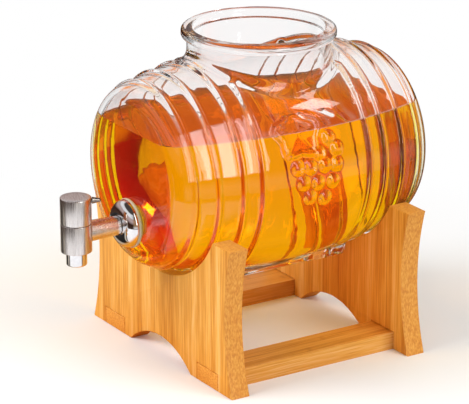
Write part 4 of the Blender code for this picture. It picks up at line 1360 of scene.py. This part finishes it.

# %% [markdown]
# The painted reflections go by the distance and by the bearing round the tap. The painted red-brown
# that bounced rays find goes by direction alone, so it has no edge under the barrel.

# %% Ground colours
# PALE is the table's own colour. The others are painted: an amber glow of light through the drink, dark
# ground for reflections, and red-brown that darkens the drink.
PALE, AMBER, DARK, RED_BROWN = "#F6F5F3", "#F4A428", "#241C18", "#96381A"
AMBER_END = (0.1, 0.16)  # distances in metres between which one ground gives way to the next
CARDS_END = (0.36, 0.42)
RIGHT_START = (-0.03, 0.08)
# Seen through the glass: a painted amber glow under the cradle, painted red-brown shade further out, then
# the pale table.
PAINTED_GLOW_AND_SHADE_STOPS = ((0.0, AMBER), (0.3, "#C0622A"), (0.5, "#B04C24"), (1.0, PALE))
# Painted reflections of dark and pale cards, by the bearing round the tap.
PAINTED_CARD_STOPS = (
    (0.0, "#101010"), (0.1, "#1C1A18"),
    (0.14, "#B8AC9A"), (0.29, "#C8BEAE"),
    (0.305, "#4A4644"), (0.32, "#4A4644"),
    (0.345, "#F6F6FA"), (0.7, "#F4F2F2"),
    (0.72, "#504A46"), (0.74, "#504A46"),
    (0.76, "#C4BAAA"), (0.78, "#C4BAAA"),
    (0.79, "#141210"), (0.88, "#141210"),
    (0.9, "#B8AC9A"), (0.95, "#B8AC9A"),
    (0.975, "#303030"),
)


def painted_reflections(tree, place, distance):
    """Painted reflections: cards by bearing, atan2 of the ways left and to the camera, between a painted
    amber glow and dark ground.
    """
    from_tap = add_node(tree, "VectorMath", [place, (tap_x * MM, 0.0, 0.0)], operation="SUBTRACT")
    sides = [
        add_node(tree, "VectorMath", [from_tap, way], operation="DOT_PRODUCT")
        for way in (LEFT_WAY, CAMERA_WAY)
    ]
    bearing = add_node(tree, "Math", sides, operation="ARCTAN2")
    turn = add_node(tree, "MapRange", [bearing, -math.pi, math.pi])
    cards = add_node(tree, "ValToRGB", [turn], stops=PAINTED_CARD_STOPS)
    to_right = on_side(tree, place, (1.0, 0.0, 0.0), *RIGHT_START)
    reach = add_node(tree, "VectorMath", [from_tap], operation="LENGTH")
    far = add_node(tree, "MapRange", [reach, *CARDS_END], interpolation_type="SMOOTHSTEP")
    beyond = add_node(tree, "MapRange", [distance, *AMBER_END], interpolation_type="SMOOTHSTEP")
    # Painted dark reflections to the right and far off, and a painted amber glow close to the cradle.
    cards = add_node(tree, "Mix", [to_right, cards, DARK], data_type="RGBA")
    cards = add_node(tree, "Mix", [far, cards, DARK], data_type="RGBA")
    return add_node(tree, "Mix", [beyond, AMBER, cards], data_type="RGBA")


def camera_side(tree, place):
    """1 for bounced rays that end on the camera's side or far to the left, by direction alone."""
    outward = add_node(tree, "VectorMath", [place], operation="NORMALIZE")
    front = on_side(tree, outward, CAMERA_WAY, -0.4, 0.1)
    left = on_side(tree, outward, LEFT_WAY, 0.65, 0.85)
    either = add_node(tree, "Math", [front, left], operation="MAXIMUM")
    return add_node(tree, "Math", [either, bounced(tree)], operation="MULTIPLY")


print("stops round the tap:", len(PAINTED_CARD_STOPS))

# %% [markdown]
# The table's material picks between those colours with the kind of ray as the factor. Its shadow
# comes from the ordinary matt shader, which gives way to plain white light further out.

# %% Table material
# A warm brown that only bounced light finds under the cradle: painted warm bounce light on the boards.
PAINTED_WARM_BOUNCE = "#C88850"
GROUND_SPAN = (0.08, 0.32)
BENEATH = (0.12, 0.08)
WHITE_SEEN = (0.17, 0.42)  # where the ground turns white: seen straight, and through the glass
WHITE_THROUGH = (0.24, 0.34)


def table_material():
    """Matt ground with painted reflections, glow and shade by the kind of ray, and plain white light at
    its edge.
    """
    finish, tree = start_material("matt_white_table")
    place = add_node(tree, "TexCoord").outputs["Object"]
    path = add_node(tree, "LightPath").outputs
    distance = add_node(tree, "VectorMath", [place], operation="LENGTH")
    near_side = camera_side(tree, place)
    span = add_node(tree, "MapRange", [distance, *GROUND_SPAN])
    under = add_node(tree, "ValToRGB", [span], stops=PAINTED_GLOW_AND_SHADE_STOPS)
    # Painted red-brown for bounced rays on the camera's side, which darkens the drink.
    under = add_node(tree, "Mix", [near_side, under, RED_BROWN], data_type="RGBA")
    mirrored = painted_reflections(tree, place, distance)
    colour = add_node(tree, "Mix", [mirrored_ray(tree), PALE, mirrored], data_type="RGBA")
    beneath, seen, seen_through = [
        add_node(tree, "MapRange", [distance, *limits], interpolation_type="SMOOTHSTEP")
        for limits in (BENEATH, WHITE_SEEN, WHITE_THROUGH)
    ]
    # Painted warm bounce: diffuse rays find the warm brown right under the cradle.
    warm = add_node(tree, "Math", [path["Is Diffuse Ray"], beneath], operation="MULTIPLY")
    colour = add_node(tree, "Mix", [warm, colour, PAINTED_WARM_BOUNCE], data_type="RGBA")
    colour = add_node(tree, "Mix", [path["Is Transmission Ray"], colour, under], data_type="RGBA")
    shader = add_node(tree, "BsdfPrincipled", {"Base Color": colour, "Roughness": 0.85})

    far_side = add_node(tree, "Math", [1.0, near_side], operation="SUBTRACT")
    through = add_node(tree, "Math", [far_side, path["Is Transmission Ray"]], operation="MULTIPLY")
    through = add_node(tree, "Math", [through, seen_through], operation="MULTIPLY")
    direct = add_node(tree, "Math", [path["Is Camera Ray"], seen], operation="MULTIPLY")
    amount = add_node(tree, "Math", [direct, through], operation="MAXIMUM")
    white = add_node(tree, "Emission", [WHITE, 1.0])
    add_node(tree, "OutputMaterial", [add_node(tree, "MixShader", [amount, shader, white])])
    return finish


table_finish = table_material()
print("made", table_finish.name)

# %% [markdown]
# The table itself is a disc: level rings and one face in the middle. It belongs to the stage, not
# to the dispenser.

# %% Table
TABLE_RADIUS = 480.0


def table_grid(circles=8, steps=96):
    """Level rings (r cos a, r sin a, 0) from a small one round the middle out to the edge."""
    radius = np.linspace(2.0, TABLE_RADIUS, circles)[:, None]
    angle = np.arange(steps) * 2 * np.pi / steps
    return np.stack([radius * np.cos(angle), radius * np.sin(angle), 0 * radius * angle], axis=-1)


table_points = table_grid()
middle_face = np.arange(table_points.shape[1])[None, :]
table_faces = [grid_quads(*table_points.shape[:2])[:, ::-1], middle_face]
table_mesh = make_mesh("table", table_points, table_faces, outward=False)
table_mesh.materials.append(table_finish)
table = bpy.data.objects.new("table", table_mesh)
scene.collection.objects.link(table)
print("table radius in m:", TABLE_RADIUS * MM)

# %% [markdown]
# The room is plain white to the camera, and an even white light for whatever is matt. Clear glass
# and chrome need something dark to mirror too, or they vanish, so the other rays see more:
#
# - A look straight through the glass finds a room that is nearly white all round.
# - Light that bounced one to three times inside the glass finds the camera's side of the room
#   orange to red-brown. That makes the drink deep while the clear glass above it stays clear.
# - A mirrored ray finds a studio: dark walls with pale strips, and a broad front to the right of
#   the camera, neutral below and warm above. It draws the lines along each edge.

# %% Room
PLAIN_LEVEL = 0.55
BOUNCED_STOPS = (
    (0.0, WHITE), (0.26, WHITE), (0.4, "#F46C2C"), (0.55, "#B83810"), (0.8, "#8A2C10"), (1.0, "#8A2C10"),
)
OVERHEAD_STOPS = ((0.55, WHITE), (0.62, "#FF9A44"), (0.69, "#FF9A44"), (0.74, "#FFE8C8"), (1.0, "#E8D0B8"))
BESIDE_STOPS = ((0.0, WHITE), (1.0, "#2A0E08"))
STRAIGHT_STOPS = ((0.0, WHITE), (0.3, WHITE), (0.5, "#BEB8B4"), (1.0, "#F4F2F0"))
FRONT_STOPS = ((0.3, "#9A948E"), (0.42, "#E8E6E4"), (0.5, "#9A7E5C"), (0.66, "#B88C68"), (0.8, "#5E4838"))
WALL_STOPS = (
    (0.3, "#54443A"), (0.52, "#3A2016"),
    (0.62, "#C0A8A4"), (0.72, "#C0A8A4"),
    (0.76, "#F0F0F2"), (0.86, "#F0F0F2"),
    (0.9, "#4A4442"), (1.0, "#4A4442"),
)


def white_room():
    """A background whose colour goes by the kind of ray, by how far it faces the camera and rises."""
    world = bpy.data.worlds.new("white_room")
    world.use_nodes = True
    tree = world.node_tree
    tree.nodes.clear()
    path = add_node(tree, "LightPath").outputs
    way = add_node(tree, "TexCoord").outputs["Generated"]
    cosines = [
        add_node(tree, "VectorMath", [way, axis], operation="DOT_PRODUCT") for axis in (CAMERA_WAY, UP_WAY)
    ]
    facing, rise = [add_node(tree, "MapRange", [cosine, -1.0, 1.0]) for cosine in cosines]
    leftward = on_side(tree, way, LEFT_WAY, 0.6, 0.85)
    behind = add_node(tree, "ValToRGB", [facing], stops=BOUNCED_STOPS)
    for factor, stops in ((rise, OVERHEAD_STOPS), (leftward, BESIDE_STOPS)):
        other = add_node(tree, "ValToRGB", [factor], stops=stops)
        behind = add_node(tree, "Mix", [1.0, behind, other], data_type="RGBA", blend_type="MULTIPLY")
    straight = add_node(tree, "ValToRGB", [facing], stops=STRAIGHT_STOPS)
    behind = add_node(tree, "Mix", [bounced(tree), straight, behind], data_type="RGBA")
    walls = add_node(tree, "ValToRGB", [rise], stops=WALL_STOPS)
    front = add_node(tree, "ValToRGB", [rise], stops=FRONT_STOPS)
    rightward = on_side(tree, way, RIGHT_WAY, 0.2, 0.6)
    studio = add_node(tree, "Mix", [rightward, walls, front], data_type="RGBA")
    room = add_node(tree, "Background", [WHITE, PLAIN_LEVEL])
    for ray, seen in (
        (path["Is Transmission Ray"], behind),
        (mirrored_ray(tree), studio),
        (path["Is Camera Ray"], WHITE),
    ):
        room = add_node(tree, "MixShader", [ray, room, add_node(tree, "Background", [seen, 1.0])])
    add_node(tree, "OutputWorld", [room])
    return world


scene.world = white_room()
print("made", scene.world.name)

# %% [markdown]
# A long soft box to the right of the camera draws the bright line down each cylinder, and a small
# window further round draws a second one. Two large lamps light what is matt: one from the far left
# and one from the right. Each lamp does only its own half of the work, so the one can be moved
# without spoiling the other.
#
# A ray that is caught in the thick rim is bent and mirrored many times before it leaves. After
# Blender's usual four glossy bounces it would end in black, and the rim would look inked.

# %% Lamps
def soft_box(name, turn_degrees, rise_degrees, distance, width, height, power, for_matt):
    """A rectangular lamp aimed at the barrel, for matt surfaces or to be mirrored and seen through.

    Its way is (-sin t cos r, -cos t cos r, sin r): the turn is from -Y towards -X.
    """
    turn, rise = math.radians(turn_degrees), math.radians(rise_degrees)
    way = Vector((-math.sin(turn) * math.cos(rise), -math.cos(turn) * math.cos(rise), math.sin(rise)))
    lamp = bpy.data.lights.new(name, "AREA")
    lamp.shape = "RECTANGLE"
    lamp.size, lamp.size_y, lamp.energy = width, height, power
    holder = bpy.data.objects.new(name, lamp)
    holder.location = Vector((middle_x * MM, 0.0, axis_z * MM)) + way * distance
    holder.rotation_euler = way.to_track_quat("Z", "Y").to_euler()
    holder.visible_diffuse = for_matt
    holder.visible_glossy = holder.visible_transmission = not for_matt
    scene.collection.objects.link(holder)


soft_box("long_soft_box", -4, 30, 0.9, 0.27, 0.95, 3.6, for_matt=False)
soft_box("high_window", -52, 45, 1.3, 0.2, 0.25, 1.0, for_matt=False)
soft_box("left_fill", 105, 32, 1.5, 0.9, 0.7, 18.0, for_matt=True)
soft_box("right_key", -25, 35, 1.5, 0.8, 0.8, 11.0, for_matt=True)
scene.view_settings.view_transform = "Standard"
scene.cycles.max_bounces = 24
scene.cycles.transmission_bounces = 24
scene.cycles.glossy_bounces = 16
scene.cycles.transparent_max_bounces = 16
